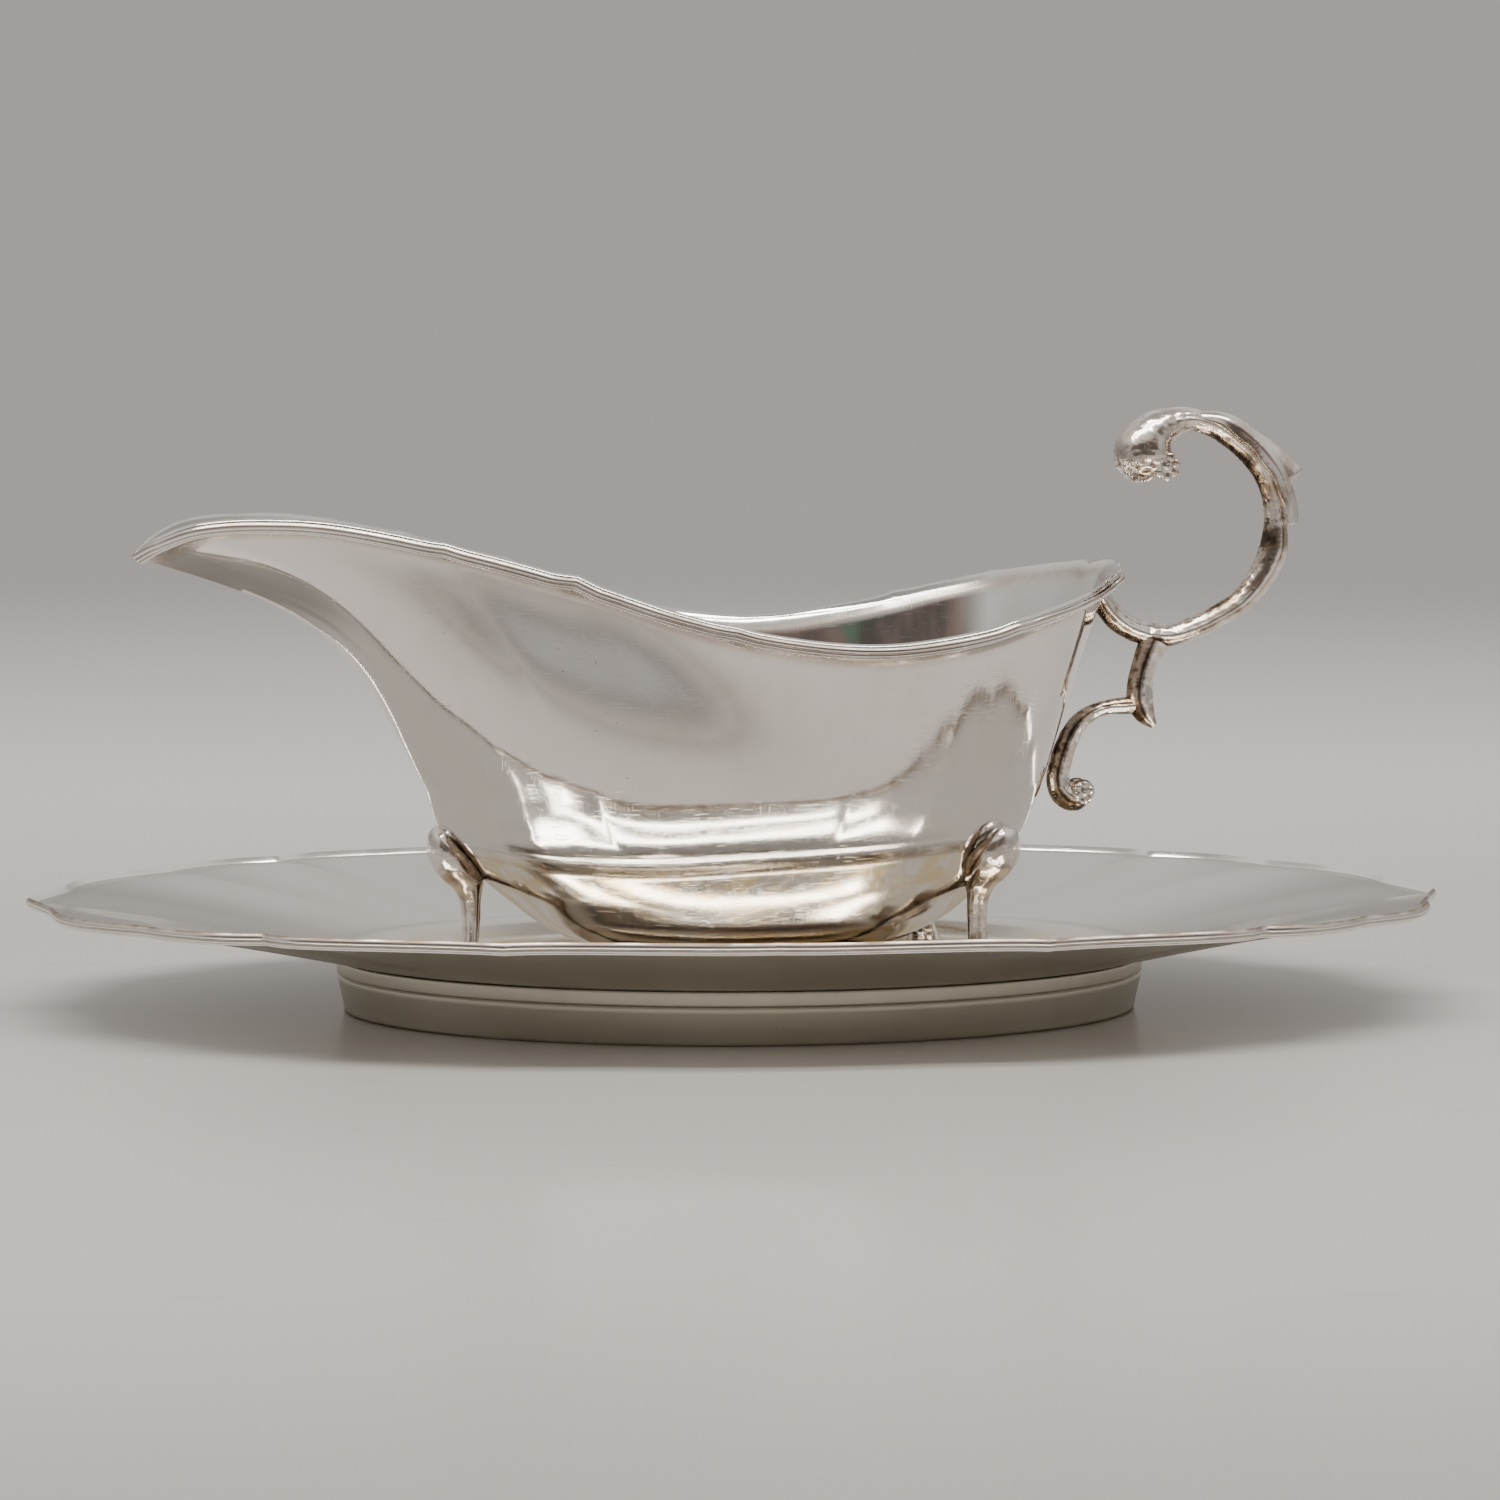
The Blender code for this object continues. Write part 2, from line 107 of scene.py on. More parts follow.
def loft(name, rings, wrap=True, close=False, start=None, end=None, cap_start=False, cap_end=False):
    """Mesh through rings of mm points. close joins the last ring to the first."""
    R = np.asarray(rings, float)
    m, n, _ = R.shape
    verts = (R.reshape(-1, 3) * MM).tolist()
    faces = []
    cols = n if wrap else n - 1
    rows = m if close else m - 1
    for a in range(rows):
        b = (a + 1) % m
        for i in range(cols):
            j = (i + 1) % n
            faces.append((a * n + i, a * n + j, b * n + j, b * n + i))
    if start is not None:
        k = len(verts)
        verts.append([c * MM for c in start])
        faces += [(k, (i + 1) % n, i) for i in range(cols)]
    if end is not None:
        k = len(verts)
        verts.append([c * MM for c in end])
        o = (m - 1) * n
        faces += [(k, o + i, o + (i + 1) % n) for i in range(cols)]
    if cap_start:
        faces.append(tuple(reversed(range(n))))
    if cap_end:
        faces.append(tuple((m - 1) * n + i for i in range(n)))
    me = bpy.data.meshes.new(name)
    me.from_pydata(verts, [], faces)
    me.update()
    return me


def orient(me, closed=True):
    bm = bmesh.new()
    bm.from_mesh(me)
    bmesh.ops.recalc_face_normals(bm, faces=bm.faces[:])
    if closed and bm.calc_volume(signed=True) < 0:
        bmesh.ops.reverse_faces(bm, faces=bm.faces[:])
    bm.to_mesh(me)
    bm.free()


def paint(me, name, values):
    """A value per vertex, read by the materials."""
    at = me.attributes.new(name, 'FLOAT', 'POINT')
    at.data.foreach_set('value', np.asarray(values, np.float32))


def place(name, me, mat, body, nodes=(), turn=False, sharp=50):
    me.shade_smooth()
    me.set_sharp_from_angle(angle=math.radians(sharp))
    me.materials.clear()
    me.materials.append(mat)
    if turn:
        me.transform(Matrix.Rotation(TURN, 4, 'Z'))
    ob = bpy.data.objects.new(name, me)
    bpy.context.scene.collection.objects.link(ob)
    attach(ob, body)
    if nodes:
        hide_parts(*nodes)
    return ob


def baked(ob):
    """The mesh of an object with its modifiers applied."""
    bpy.context.view_layer.update()
    dg = bpy.context.evaluated_depsgraph_get()
    return bpy.data.meshes.new_from_object(ob.evaluated_get(dg))


# ================================================================ materials
def nodes_of(name):
    m = bpy.data.materials.new(name)
    m.use_nodes = True
    nt = m.node_tree
    nt.nodes.clear()
    return m, nt


class Net:
    """Short hand for building a node tree."""

    def __init__(self, nt):
        self.nt = nt
        tc = nt.nodes.new('ShaderNodeTexCoord')
        self.obj = tc.outputs['Object']

    def node(self, kind, **kw):
        n = self.nt.nodes.new(kind)
        for k, v in kw.items():
            setattr(n, k, v)
        return n

    def link(self, a, b):
        self.nt.links.new(a, b)

    def mapped(self, scale=(1, 1, 1), rot=(0, 0, 0), src=None):
        n = self.node('ShaderNodeMapping')
        n.inputs['Scale'].default_value = scale
        n.inputs['Rotation'].default_value = rot
        self.link(src or self.obj, n.inputs['Vector'])
        return n.outputs[0]

    def noise(self, scale, detail=4, rough=0.55, vec=None, dist=0.0):
        n = self.node('ShaderNodeTexNoise')
        n.inputs['Scale'].default_value = scale
        n.inputs['Detail'].default_value = detail
        n.inputs['Roughness'].default_value = rough
        n.inputs['Distortion'].default_value = dist
        self.link(vec or self.obj, n.inputs['Vector'])
        return n.outputs[0]

    def voronoi(self, scale, feature='F1', vec=None, rnd=1.0):
        n = self.node('ShaderNodeTexVoronoi', feature=feature)
        n.inputs['Scale'].default_value = scale
        n.inputs['Randomness'].default_value = rnd
        self.link(vec or self.obj, n.inputs['Vector'])
        return n.outputs[0]

    def remap(self, v, a, b, c=0.0, d=1.0, smooth=True):
        n = self.node('ShaderNodeMapRange')
        n.interpolation_type = 'SMOOTHSTEP' if smooth else 'LINEAR'
        n.inputs[1].default_value, n.inputs[2].default_value = a, b
        n.inputs[3].default_value, n.inputs[4].default_value = c, d
        self.link(v, n.inputs[0])
        return n.outputs[0]

    def math(self, op, a, b=None, clamp=False):
        n = self.node('ShaderNodeMath', operation=op)
        n.use_clamp = clamp
        for i, x in enumerate((a, b)):
            if x is None:
                continue
            if isinstance(x, (int, float)):
                n.inputs[i].default_value = x
            else:
                self.link(x, n.inputs[i])
        return n.outputs[0]

    def mix(self, f, a, b):
        n = self.node('ShaderNodeMix', data_type='RGBA')
        for sock, x in ((n.inputs[0], f), (n.inputs[6], a), (n.inputs[7], b)):
            if isinstance(x, (int, float)):
                sock.default_value = x
            elif isinstance(x, tuple):
                sock.default_value = (*x, 1.0)
            else:
                self.link(x, sock)
        return n.outputs[2]

    def attr(self, name):
        n = self.node('ShaderNodeAttribute', attribute_name=name)
        return n.outputs['Fac']

    def axis(self, k, vec=None):
        n = self.node('ShaderNodeSeparateXYZ')
        self.link(vec or self.obj, n.inputs[0])
        return n.outputs[k]

    def bump(self, h, strength, dist, normal=None):
        n = self.node('ShaderNodeBump')
        n.inputs['Strength'].default_value = strength
        n.inputs['Distance'].default_value = dist
        self.link(h, n.inputs['Height'])
        if normal is not None:
            self.link(normal, n.inputs['Normal'])
        return n.outputs[0]

    def finish(self, colour, rough, normal=None, metallic=1.0):
        b = self.node('ShaderNodeBsdfPrincipled')
        b.inputs['Metallic'].default_value = metallic
        for sock, x in ((b.inputs['Base Color'], colour), (b.inputs['Roughness'], rough)):
            if isinstance(x, (int, float)):
                sock.default_value = x
            elif isinstance(x, tuple):
                sock.default_value = (*x, 1.0)
            else:
                self.link(x, sock)
        if normal is not None:
            self.link(normal, b.inputs['Normal'])
        o = self.node('ShaderNodeOutputMaterial')
        self.link(b.outputs[0], o.inputs[0])
        return b


SILVER = (0.885, 0.855, 0.815)
TARNISH_AND_SHADE = (0.30, 0.215, 0.15)
BLACK = (0.055, 0.045, 0.038)


def silver(name, rough=0.12, satin=0.10, patch=0.25, dark_strength=0.8, tint=SILVER, pit=0.0, scratch=0.25, tint2=None,
           warm=(0.62, 0.47, 0.30), dull=0.30):
    """Old silver: polished, clouded with fine tarnish, hair scratches, dark where it can't be rubbed and dark where
    the tarnish_and_shade layer lays painted shade.
    """
    m, nt = nodes_of(name)
    n = Net(nt)
    big = n.noise(38.0, 5, 0.6)
    mid = n.noise(170.0, 6, 0.62, dist=0.4)
    fine = n.noise(1500.0, 3, 0.6)
    cloud = n.math('MULTIPLY', n.remap(big, 0.40, 0.68), n.remap(mid, 0.38, 0.66))
    col = n.mix(n.math('MULTIPLY', cloud, patch), tint, tint2 or warm)
    # small dark specks
    vo = n.voronoi(430.0, 'F1', rnd=1.0)
    speck = n.math('MULTIPLY', n.remap(vo, 0.10, 0.04), n.remap(n.noise(60.0, 2), 0.52, 0.66))
    col = n.mix(n.math('MULTIPLY', speck, 0.55), col, TARNISH_AND_SHADE)
    # tarnish_and_shade layer: brown tarnish in hollows, plus painted shade where a part lays it (the near back face
    # of the stand's border), going to black where strongest
    tarnish_and_shade = n.attr('tarnish_and_shade')
    tarnish_and_shade_mask = n.math('MULTIPLY', tarnish_and_shade, n.remap(mid, 0.22, 0.58, 0.55, 1.0), clamp=True)
    col = n.mix(n.math('MULTIPLY', tarnish_and_shade_mask, dark_strength, clamp=True), col, TARNISH_AND_SHADE)
    deep = n.remap(tarnish_and_shade, 0.85, 1.35)
    col = n.mix(n.math('MULTIPLY', deep, 0.9), col, BLACK)
    # hair scratches in two directions
    s1 = n.noise(1.0, 2, 0.5, vec=n.mapped((260, 260, 5200), (0.35, 0.2, 0.1)))
    s2 = n.noise(1.0, 2, 0.5, vec=n.mapped((4800, 420, 300), (0.1, 0.5, 0.7)))
    hair = n.math('ADD', n.remap(s1, 0.60, 0.74), n.remap(s2, 0.62, 0.76), clamp=True)
    r = n.math('ADD', n.remap(mid, 0.25, 0.75, rough - satin * 0.4, rough + satin * 0.6, smooth=False),
               n.math('MULTIPLY', hair, 0.10))
    r = n.math('ADD', r, n.math('MULTIPLY', tarnish_and_shade_mask, dull), clamp=True)
    h = n.math('ADD', n.math('MULTIPLY', hair, -0.35 * scratch), n.math('MULTIPLY', fine, 0.20))
    h = n.math('ADD', h, n.math('MULTIPLY', speck, -0.6))
    if pit:
        pv = n.voronoi(900.0, 'F1')
        h = n.math('ADD', h, n.math('MULTIPLY', n.remap(pv, 0.36, 0.10), -pit))
    nor = n.bump(h, 0.35, 0.00006)
    n.finish(col, r, nor)
    return m


def silver_dish(name, rough=0.075, tint=(0.82, 0.80, 0.755), shade=None):
    """The stand: satin silver with rings of wear, yellow tarnish in the well, a golden tint on the well floor under
    the boat, and an olive underside painted lighter as painted light, making up for the shaded floor it mirrors.
    """
    m, nt = nodes_of(name)
    n = Net(nt)
    big = n.noise(26.0, 5, 0.6)
    mid = n.noise(140.0, 6, 0.62, dist=0.5)
    x, y, z = n.axis(0), n.axis(1), n.axis(2)
    # elliptical radius: 1 at the edge of the well floor
    ex = n.math('DIVIDE', x, 0.060)
    ey = n.math('DIVIDE', y, 0.0368)
    rad = n.math('SQRT', n.math('ADD', n.math('POWER', ex, 2.0), n.math('POWER', ey, 2.0)))
    ring = n.math('MULTIPLY', n.remap(rad, 0.55, 0.92), n.remap(rad, 1.16, 0.98))
    yellow = n.math('MULTIPLY', ring, n.remap(mid, 0.34, 0.62), clamp=True)
    col = n.mix(n.math('MULTIPLY', n.remap(big, 0.42, 0.7), 0.22), tint, (0.66, 0.60, 0.50))
    col = n.mix(n.math('MULTIPLY', yellow, 0.75), col, (0.60, 0.46, 0.22))
    # golden tint, strongest on the well floor at the centre under the boat and fading outwards; left off the
    # underside
    gold = n.math('MULTIPLY', n.remap(rad, 0.90, 0.25), n.remap(mid, 0.30, 0.62, 0.25, 1.0))
    under = n.attr('under')
    gold = n.math('MULTIPLY', gold, n.math('SUBTRACT', 1.0, under))
    col = n.mix(n.math('MULTIPLY', gold, 0.9), col, (0.50, 0.345, 0.115))
    # underside: olive, painted lighter as painted light making up for the shaded floor it mirrors
    col = n.mix(under, col, n.mix(n.remap(big, 0.3, 0.75), (0.90, 0.875, 0.80), (0.80, 0.77, 0.69)))
    # tarnish_and_shade layer: tarnish at the flange's edge, plus painted shade on the stand's near edge and on the
    # foot ring
    tarnish_and_shade = n.attr('tarnish_and_shade')
    stand_tarnish_and_shade = n.math('MULTIPLY', tarnish_and_shade, n.remap(mid, 0.2, 0.6, 0.55, 1.0), clamp=True)
    col = n.mix(n.math('MULTIPLY', stand_tarnish_and_shade, 0.8), col, (0.28, 0.235, 0.18))
    vo = n.voronoi(380.0)
    speck = n.math('MULTIPLY', n.remap(vo, 0.09, 0.03), n.remap(n.noise(50.0, 2), 0.50, 0.66))
    col = n.mix(n.math('MULTIPLY', speck, 0.5), col, TARNISH_AND_SHADE)
    s1 = n.noise(1.0, 2, 0.5, vec=n.mapped((300, 4600, 300), (0.0, 0.0, 0.5)))
    s2 = n.noise(1.0, 2, 0.5, vec=n.mapped((5000, 380, 300), (0.0, 0.0, -0.3)))
    hair = n.math('ADD', n.remap(s1, 0.60, 0.74), n.remap(s2, 0.62, 0.76), clamp=True)
    r = n.math('ADD', n.remap(mid, 0.25, 0.75, rough - 0.03, rough + 0.06, smooth=False), n.math('MULTIPLY', hair, 0.10))
    r = n.math('ADD', r, n.math('MULTIPLY', stand_tarnish_and_shade, 0.18), clamp=True)
    r = n.math('MAXIMUM', r, n.math('MULTIPLY', under, 0.34))
    h = n.math('ADD', n.math('MULTIPLY', hair, -0.12), n.math('MULTIPLY', n.noise(1400.0, 3), 0.2))
    h = n.math('ADD', h, n.math('MULTIPLY', speck, -0.6))
    # shade: a colour multiplied over the whole surface, painted shade
    if shade:
        col = n.mix(1.0, col, shade)
        col.node.blend_type = 'MULTIPLY'
    n.finish(col, r, n.bump(h, 0.35, 0.00006))
    return m


M_WALL = silver("silver_sheet_look", rough=0.065, satin=0.05, patch=0.40, tint=(0.745, 0.715, 0.68),
                tint2=(0.62, 0.575, 0.53))
M_BORDER = silver("silver_border_look", rough=0.13, satin=0.08, patch=0.25, dark_strength=0.95, scratch=0.1)
M_CAST = silver("silver_cast_look", rough=0.13, satin=0.12, patch=0.75, dark_strength=1.0, pit=0.6, tint=(0.86, 0.815, 0.76),
                warm=(0.44, 0.31, 0.215), dull=0.10)
M_SOLDER = silver("solder_look", rough=0.38, satin=0.3, patch=0.9, dark_strength=1.0, pit=1.2, tint=(0.50, 0.41, 0.34),
                  warm=(0.26, 0.17, 0.12))
M_DISH = silver_dish("silver_dish_look", tint=(0.655, 0.63, 0.59))
# the foot ring: a darker copy of the stand's silver, painted shade under the dish flange
M_FOOTRING = silver_dish("silver_foot_look", rough=0.24, shade=(0.74, 0.73, 0.69))

# ================================================================ boat: rim
RIM = [(66.2, 0.0, 73.5), (63.2, 9.5, 72.4), (59.6, 16.0, 71.5), (52.9, 24.5, 69.6),
       (43.5, 30.6, 67.2), (30.0, 34.8, 64.0), (14.0, 36.0, 62.3), (-2.0, 35.0, 63.6),
       (-18.5, 32.0, 67.3), (-35.0, 27.6, 72.8), (-52.0, 21.2, 77.5), (-70.0, 14.2, 81.2),
       (-82.0, 10.4, 82.0), (-92.0, 7.4, 81.3), (-98.2, 3.8, 78.9), (-101.2, 0.0, 76.8)]
RIM_PATH = spline(RIM, 40)
RIM_LEN = 196.0

# Corners of the shaped rim: (share of the way from handle to lip, outwards, upwards, reach in mm)
CORNERS = [(0.150, 0.45, 0.25, 3.5), (0.239, 0.45, 0.30, 3.5), (0.486, 0.40, 0.25, 3.5), (0.623, 0.75, 0.70, 4.2),
           (0.733, 0.45, 0.30, 3.5)]
NEAR_NOTCH, FAR_NOTCH = 0.078, 0.032
FLARE = [(0.0, 60), (0.08, 64), (0.15, 60), (0.24, 50), (0.36, 38), (0.50, 36), (0.62, 40), (0.73, 48), (0.85, 56),
         (0.95, 58), (1.0, 52)]
BOAT_N = 320                      # columns round the boat
HALF = BOAT_N // 2
SHARES = np.linspace(0, 1, HALF + 1)


def rim_fraction(h):
    return h + 0.035 * np.sin(2 * np.pi * h)


def rim_line(fr, side):
    """Centre line of the border at shares fr; side is -1 near, +1 far."""
    p = resample(RIM_PATH, fr)
    p[:, 1] *= side
    lift = table(fr, [(0, 0.2), (0.05, 0.7), (0.16, 0.9), (0.28, 0.7), (0.40, 0.1), (0.5, 0.0)])
    p[:, 2] += lift if side > 0 else 0.0 * lift
    return p


def closed_rim(count, corners=True):
    """The whole rim, handle end first, by the far side to the lip and back by the near side."""
    half = count // 2
    h = np.linspace(0, 1, half + 1)
    fr = rim_fraction(h)
    far, near = rim_line(fr, 1), rim_line(fr, -1)
    pts = np.vstack([far, near[-2:0:-1]])
    frs = np.concatenate([fr, fr[-2:0:-1]])
    sides = np.concatenate([np.ones(half + 1), -np.ones(half - 1)])
    t = unit(np.roll(pts, -1, 0) - np.roll(pts, 1, 0))
    out = np.stack([t[:, 1], -t[:, 0], np.zeros(len(t))], 1)
    out = unit(out)
    # a little smoothing where the rim turns sharply
    for _ in range(3):
        out = unit(out + 0.5 * (np.roll(out, 1, 0) + np.roll(out, -1, 0)))
    up = np.cross(out, t)
    up = unit(up * np.sign(up[:, 2:3]))
    e = np.zeros(len(pts))
    u = np.zeros(len(pts))
    for f0, a, b, reach in (CORNERS if corners else []):
        d = np.abs(frs - f0) * RIM_LEN / reach
        k = np.maximum(0, 1 - d) ** 1.3
        e += a * k
        u += b * k
    s = np.where(sides < 0, -frs, frs) * RIM_LEN
    for f0 in ((FAR_NOTCH * RIM_LEN, -NEAR_NOTCH * RIM_LEN) if corners else ()):
        k = np.exp(-((s - f0) / 1.5) ** 2)
        e -= 1.0 * k
        u -= 0.7 * k
        for dd in (-3.4, 3.4):
            k = np.exp(-((s - f0 - dd) / 1.6) ** 2)
            e += 0.30 * k
            u += 0.20 * k
    pts = pts + out * e[:, None] + up * u[:, None]
    phi = np.radians(table(frs, FLARE))[:, None]
    d = unit(np.cos(phi) * up + np.sin(phi) * out)           # across the band, towards its free edge
    nrm = unit(np.sin(phi) * (-up) + np.cos(phi) * out)      # away from the wall
    return pts, d, nrm, out, up, frs


# ================================================================ boat: bowl
BELLY = [(12.0, 0.2, 9.2), (23.5, 0.2, 10.3), (30.6, 0.0, 12.8), (35.6, 0.0, 15.6),
         (39.4, -0.1, 18.6), (43.4, -0.6, 22.2), (47.0, -1.2, 26.2), (49.9, -1.4, 30.2),
         (51.7, -1.3, 34.2), (53.1, -1.2, 38.2)]


ASPECT = 0.569


def oval_half(a, b, cx, z):
    t = np.linspace(0, np.pi, 241)
    c, s = np.cos(t), np.sin(t)
    keen = lerp(0.86, 1.22, np.clip(-c * 1.6, 0, 1) ** 0.8 * np.clip((z - 12) / 20, 0, 1))
    return np.stack([cx + a * np.sign(c) * np.abs(c) ** 0.86, b * np.abs(s) ** keen, np.full_like(t, z)], 1)


def build_bowl():
    rings = []
    for f in (0.3, 0.6, 0.85):
        rings.append(resample(oval_half(12.0 * f, 12.0 * f * ASPECT, 0.3, 9.1 + 0.1 * f * f), SHARES))
    for a, cx, z in spline(BELLY, 5):
        rings.append(resample(oval_half(a, a * ASPECT, cx, z), SHARES))
    full = [np.vstack([r, (r * [1, -1, 1])[-2:0:-1]]) for r in rings]
    low = full[-1]
    rim, d, nrm, out, up, frs = closed_rim(BOAT_N)
    even = closed_rim(BOAT_N, corners=False)[0]
    side = np.concatenate([SHARES, SHARES[-2:0:-1]])
    t = unit(np.roll(low, -1, 0) - np.roll(low, 1, 0))
    o = np.stack([t[:, 1], -t[:, 0]], 1)
    nx = np.cos(np.pi * side)
    ox, oy = o[:, 0], o[:, 1]
    ox[0], oy[0] = 1, 0
    ox[HALF], oy[HALF] = -1, 0
    lean = 0.18 * oy * oy + np.where(ox > 0, 0.30, 0.52) * ox * ox
    top = rim - 0.6 * d - nrm * 0.45
    base = even - 0.6 * d - nrm * 0.45
    span = np.linalg.norm(base - low, axis=1)
    front = np.maximum(0, -nx) ** 3
    rear = np.maximum(0, nx) ** 3
    k0 = span * lerp(0.31, 0.465, front)
    m0 = np.sqrt(1 + lean * lean)
    sv = np.stack([ox * lean / m0, oy * lean / m0, 1 / m0], 1)
    tip = (np.maximum(0, (side - 0.80) / 0.20) ** 2)[:, None]
    chord = unit(base - low)
    fore = np.clip((side - 0.40) / 0.2, 0, 1)
    sv = unit(lerp(sv, chord, (0.55 * (1 - fore) * oy * oy * (1 - tip[:, 0]))[:, None]))
    p1 = low + k0[:, None] * sv
    sink = np.clip((side - 0.55) / 0.25, 0, 1)[:, None] * (1 - tip)
    ev = unit(lerp(unit(base - p1), np.array([-0.957, 0.0, 0.29]), np.clip(tip + 0.30 * sink, 0, 1)))
    k1 = (span * lerp(0.33, 0.50, tip[:, 0]))[:, None]
    end = base - 1.9 * unit(0.6 * ev + 0.4 * d)
    p2 = end - k1 * ev
    for v in np.linspace(0, 1, 34)[1:]:
        s = 1 - v
        full.append(s ** 3 * low + 3 * s * s * v * p1 + 3 * s * v * v * p2 + v ** 3 * end)
    prev = end
    for g in (0.25, 0.5, 0.75, 1.0):
        full.append(lerp(end, top, g))
    full.append(top + 0.8 * d)
    full.append(top + 1.45 * d)
    R = np.array(full)
    me = loft("bowl", R, start=(0.3, 0, 9.08))
    orient(me, closed=False)
    if sum(p.normal.z * p.area for p in me.polygons) < 0:
        me.flip_normals()
    # tarnish: a brown line below the border
    m = len(full)
    dist = np.linalg.norm(R - R[m - 6][None], axis=2)
    row = np.arange(m)[:, None] * np.ones((1, BOAT_N))
    tarnish_and_shade = 0.75 * np.exp(-(dist / 1.1) ** 2) * (row > m - 16)
    tarnish_and_shade = np.concatenate([tarnish_and_shade.reshape(-1), [0.0]])
    paint(me, 'tarnish_and_shade', tarnish_and_shade)
    ob = place("bowl", me, M_WALL, "boat", ("boat_body",), turn=True, sharp=70)
    s = ob.modifiers.new("sheet", "SOLIDIFY")
    s.thickness = 0.9 * MM
    s.offset = 1.0
    s.use_even_offset = False
    return ob


# ================================================================ reeded borders
def reeded(name, pts, d, nrm, width, thick, reeds, mat, body, node, turn, dark=1.0, rough_seed=0.0,
           inner=0.15):
    """Applied band: rounded reeds on one face, plain on the other, along a closed line."""
    K = reeds * 6
    prof = []
    for k in range(K + 1):
        u = k / K
        bulge = abs(math.sin(math.pi * reeds * u)) ** 0.8
        shape = 1.0 - 0.45 * (2 * u - 1) ** 2
        prof.append((lerp(-width / 2, width / 2, u), (0.42 + 0.58 * bulge) * thick * shape, 1.0 - bulge))
    for k in range(5):
        u = k / 4
        prof.append((lerp(width / 2 - 0.05, -width / 2 + 0.05, u), -0.22 * thick - 0.10 * thick * math.sin(math.pi * u), inner))
    A = np.array([p[0] for p in prof])
    B = np.array([p[1] for p in prof])
    T = np.array([p[2] for p in prof])
    rings = pts[:, None, :] + A[None, :, None] * d[:, None, :] + B[None, :, None] * nrm[:, None, :]
    me = loft(name, rings, close=True)
    orient(me)
    n = len(pts)
    wob = np.array([fbm((p[0] * 0.25, p[1] * 0.25, p[2] * 0.25 + rough_seed), 3) for p in pts])
    T = np.repeat(T[None, :], n, 0)
    # the plain back face keeps its darkness only on the near side (y < 0) and gets 0.15 elsewhere: painted shade on
    # the near side
    T[:, K + 1:] = np.where(pts[:, 1:2] < 0, T[:, K + 1:], 0.15)
    tarnish_and_shade = (T ** 2.2) * dark * (0.9 + 0.5 * wob[:, None])
    paint(me, 'tarnish_and_shade', np.clip(tarnish_and_shade, 0, 1.1).reshape(-1))
    return place(name, me, mat, body, (node,), turn=turn, sharp=75)


# ================================================================ stand
L, W = 120.0, 65.2
QUARTER = [
    ((L, 0.0), (118.6, 4.6), (116.4, 9.0), (115.0, 14.0)),
    ((115.0, 14.0), (113.5, 29.0), (104.5, 32.5), (98.5, 37.5)),
    ((98.5, 37.5), (93.5, 44.5), (87.5, 48.2), (79.3, 49.3)),
    ((79.3, 49.3), (76.0, 56.5), (56.0, 57.5), (42.3, 63.6)),
    ((42.3, 63.6), (33.0, 60.8), (12.0, 67.0), (0.0, W)),
]


def dish_outline(n):
    per = n // 20
    q = [bezier(*seg, k / per) for seg in QUARTER for k in range(per)]
    mid = QUARTER[-1][3]
    second = [(-x, y) for x, y in reversed(q[1:])]
    half = q + [mid] + second
    return np.array(half + [(-x, -y) for x, y in half])


STAND_N = 480
OUT = dish_outline(STAND_N)
ANG = np.arctan2(OUT[:, 1] / W, OUT[:, 0] / L)


def droop(x):
    return -0.9 * np.maximum(0.0, (np.abs(x) - 40.0) / 80.0) ** 2


def ellipse(a, b, z):
    return np.stack([a * np.cos(ANG), b * np.sin(ANG), np.full_like(ANG, z)], 1)


def outline_frame():
    p = np.column_stack([OUT, np.zeros(len(OUT))])
    t = unit(np.roll(p, -1, 0) - np.roll(p, 1, 0))
    o = np.stack([t[:, 1], -t[:, 0], np.zeros(len(t))], 1)
    for _ in range(4):
        o = unit(o + 0.5 * (np.roll(o, 1, 0) + np.roll(o, -1, 0)))
    return o


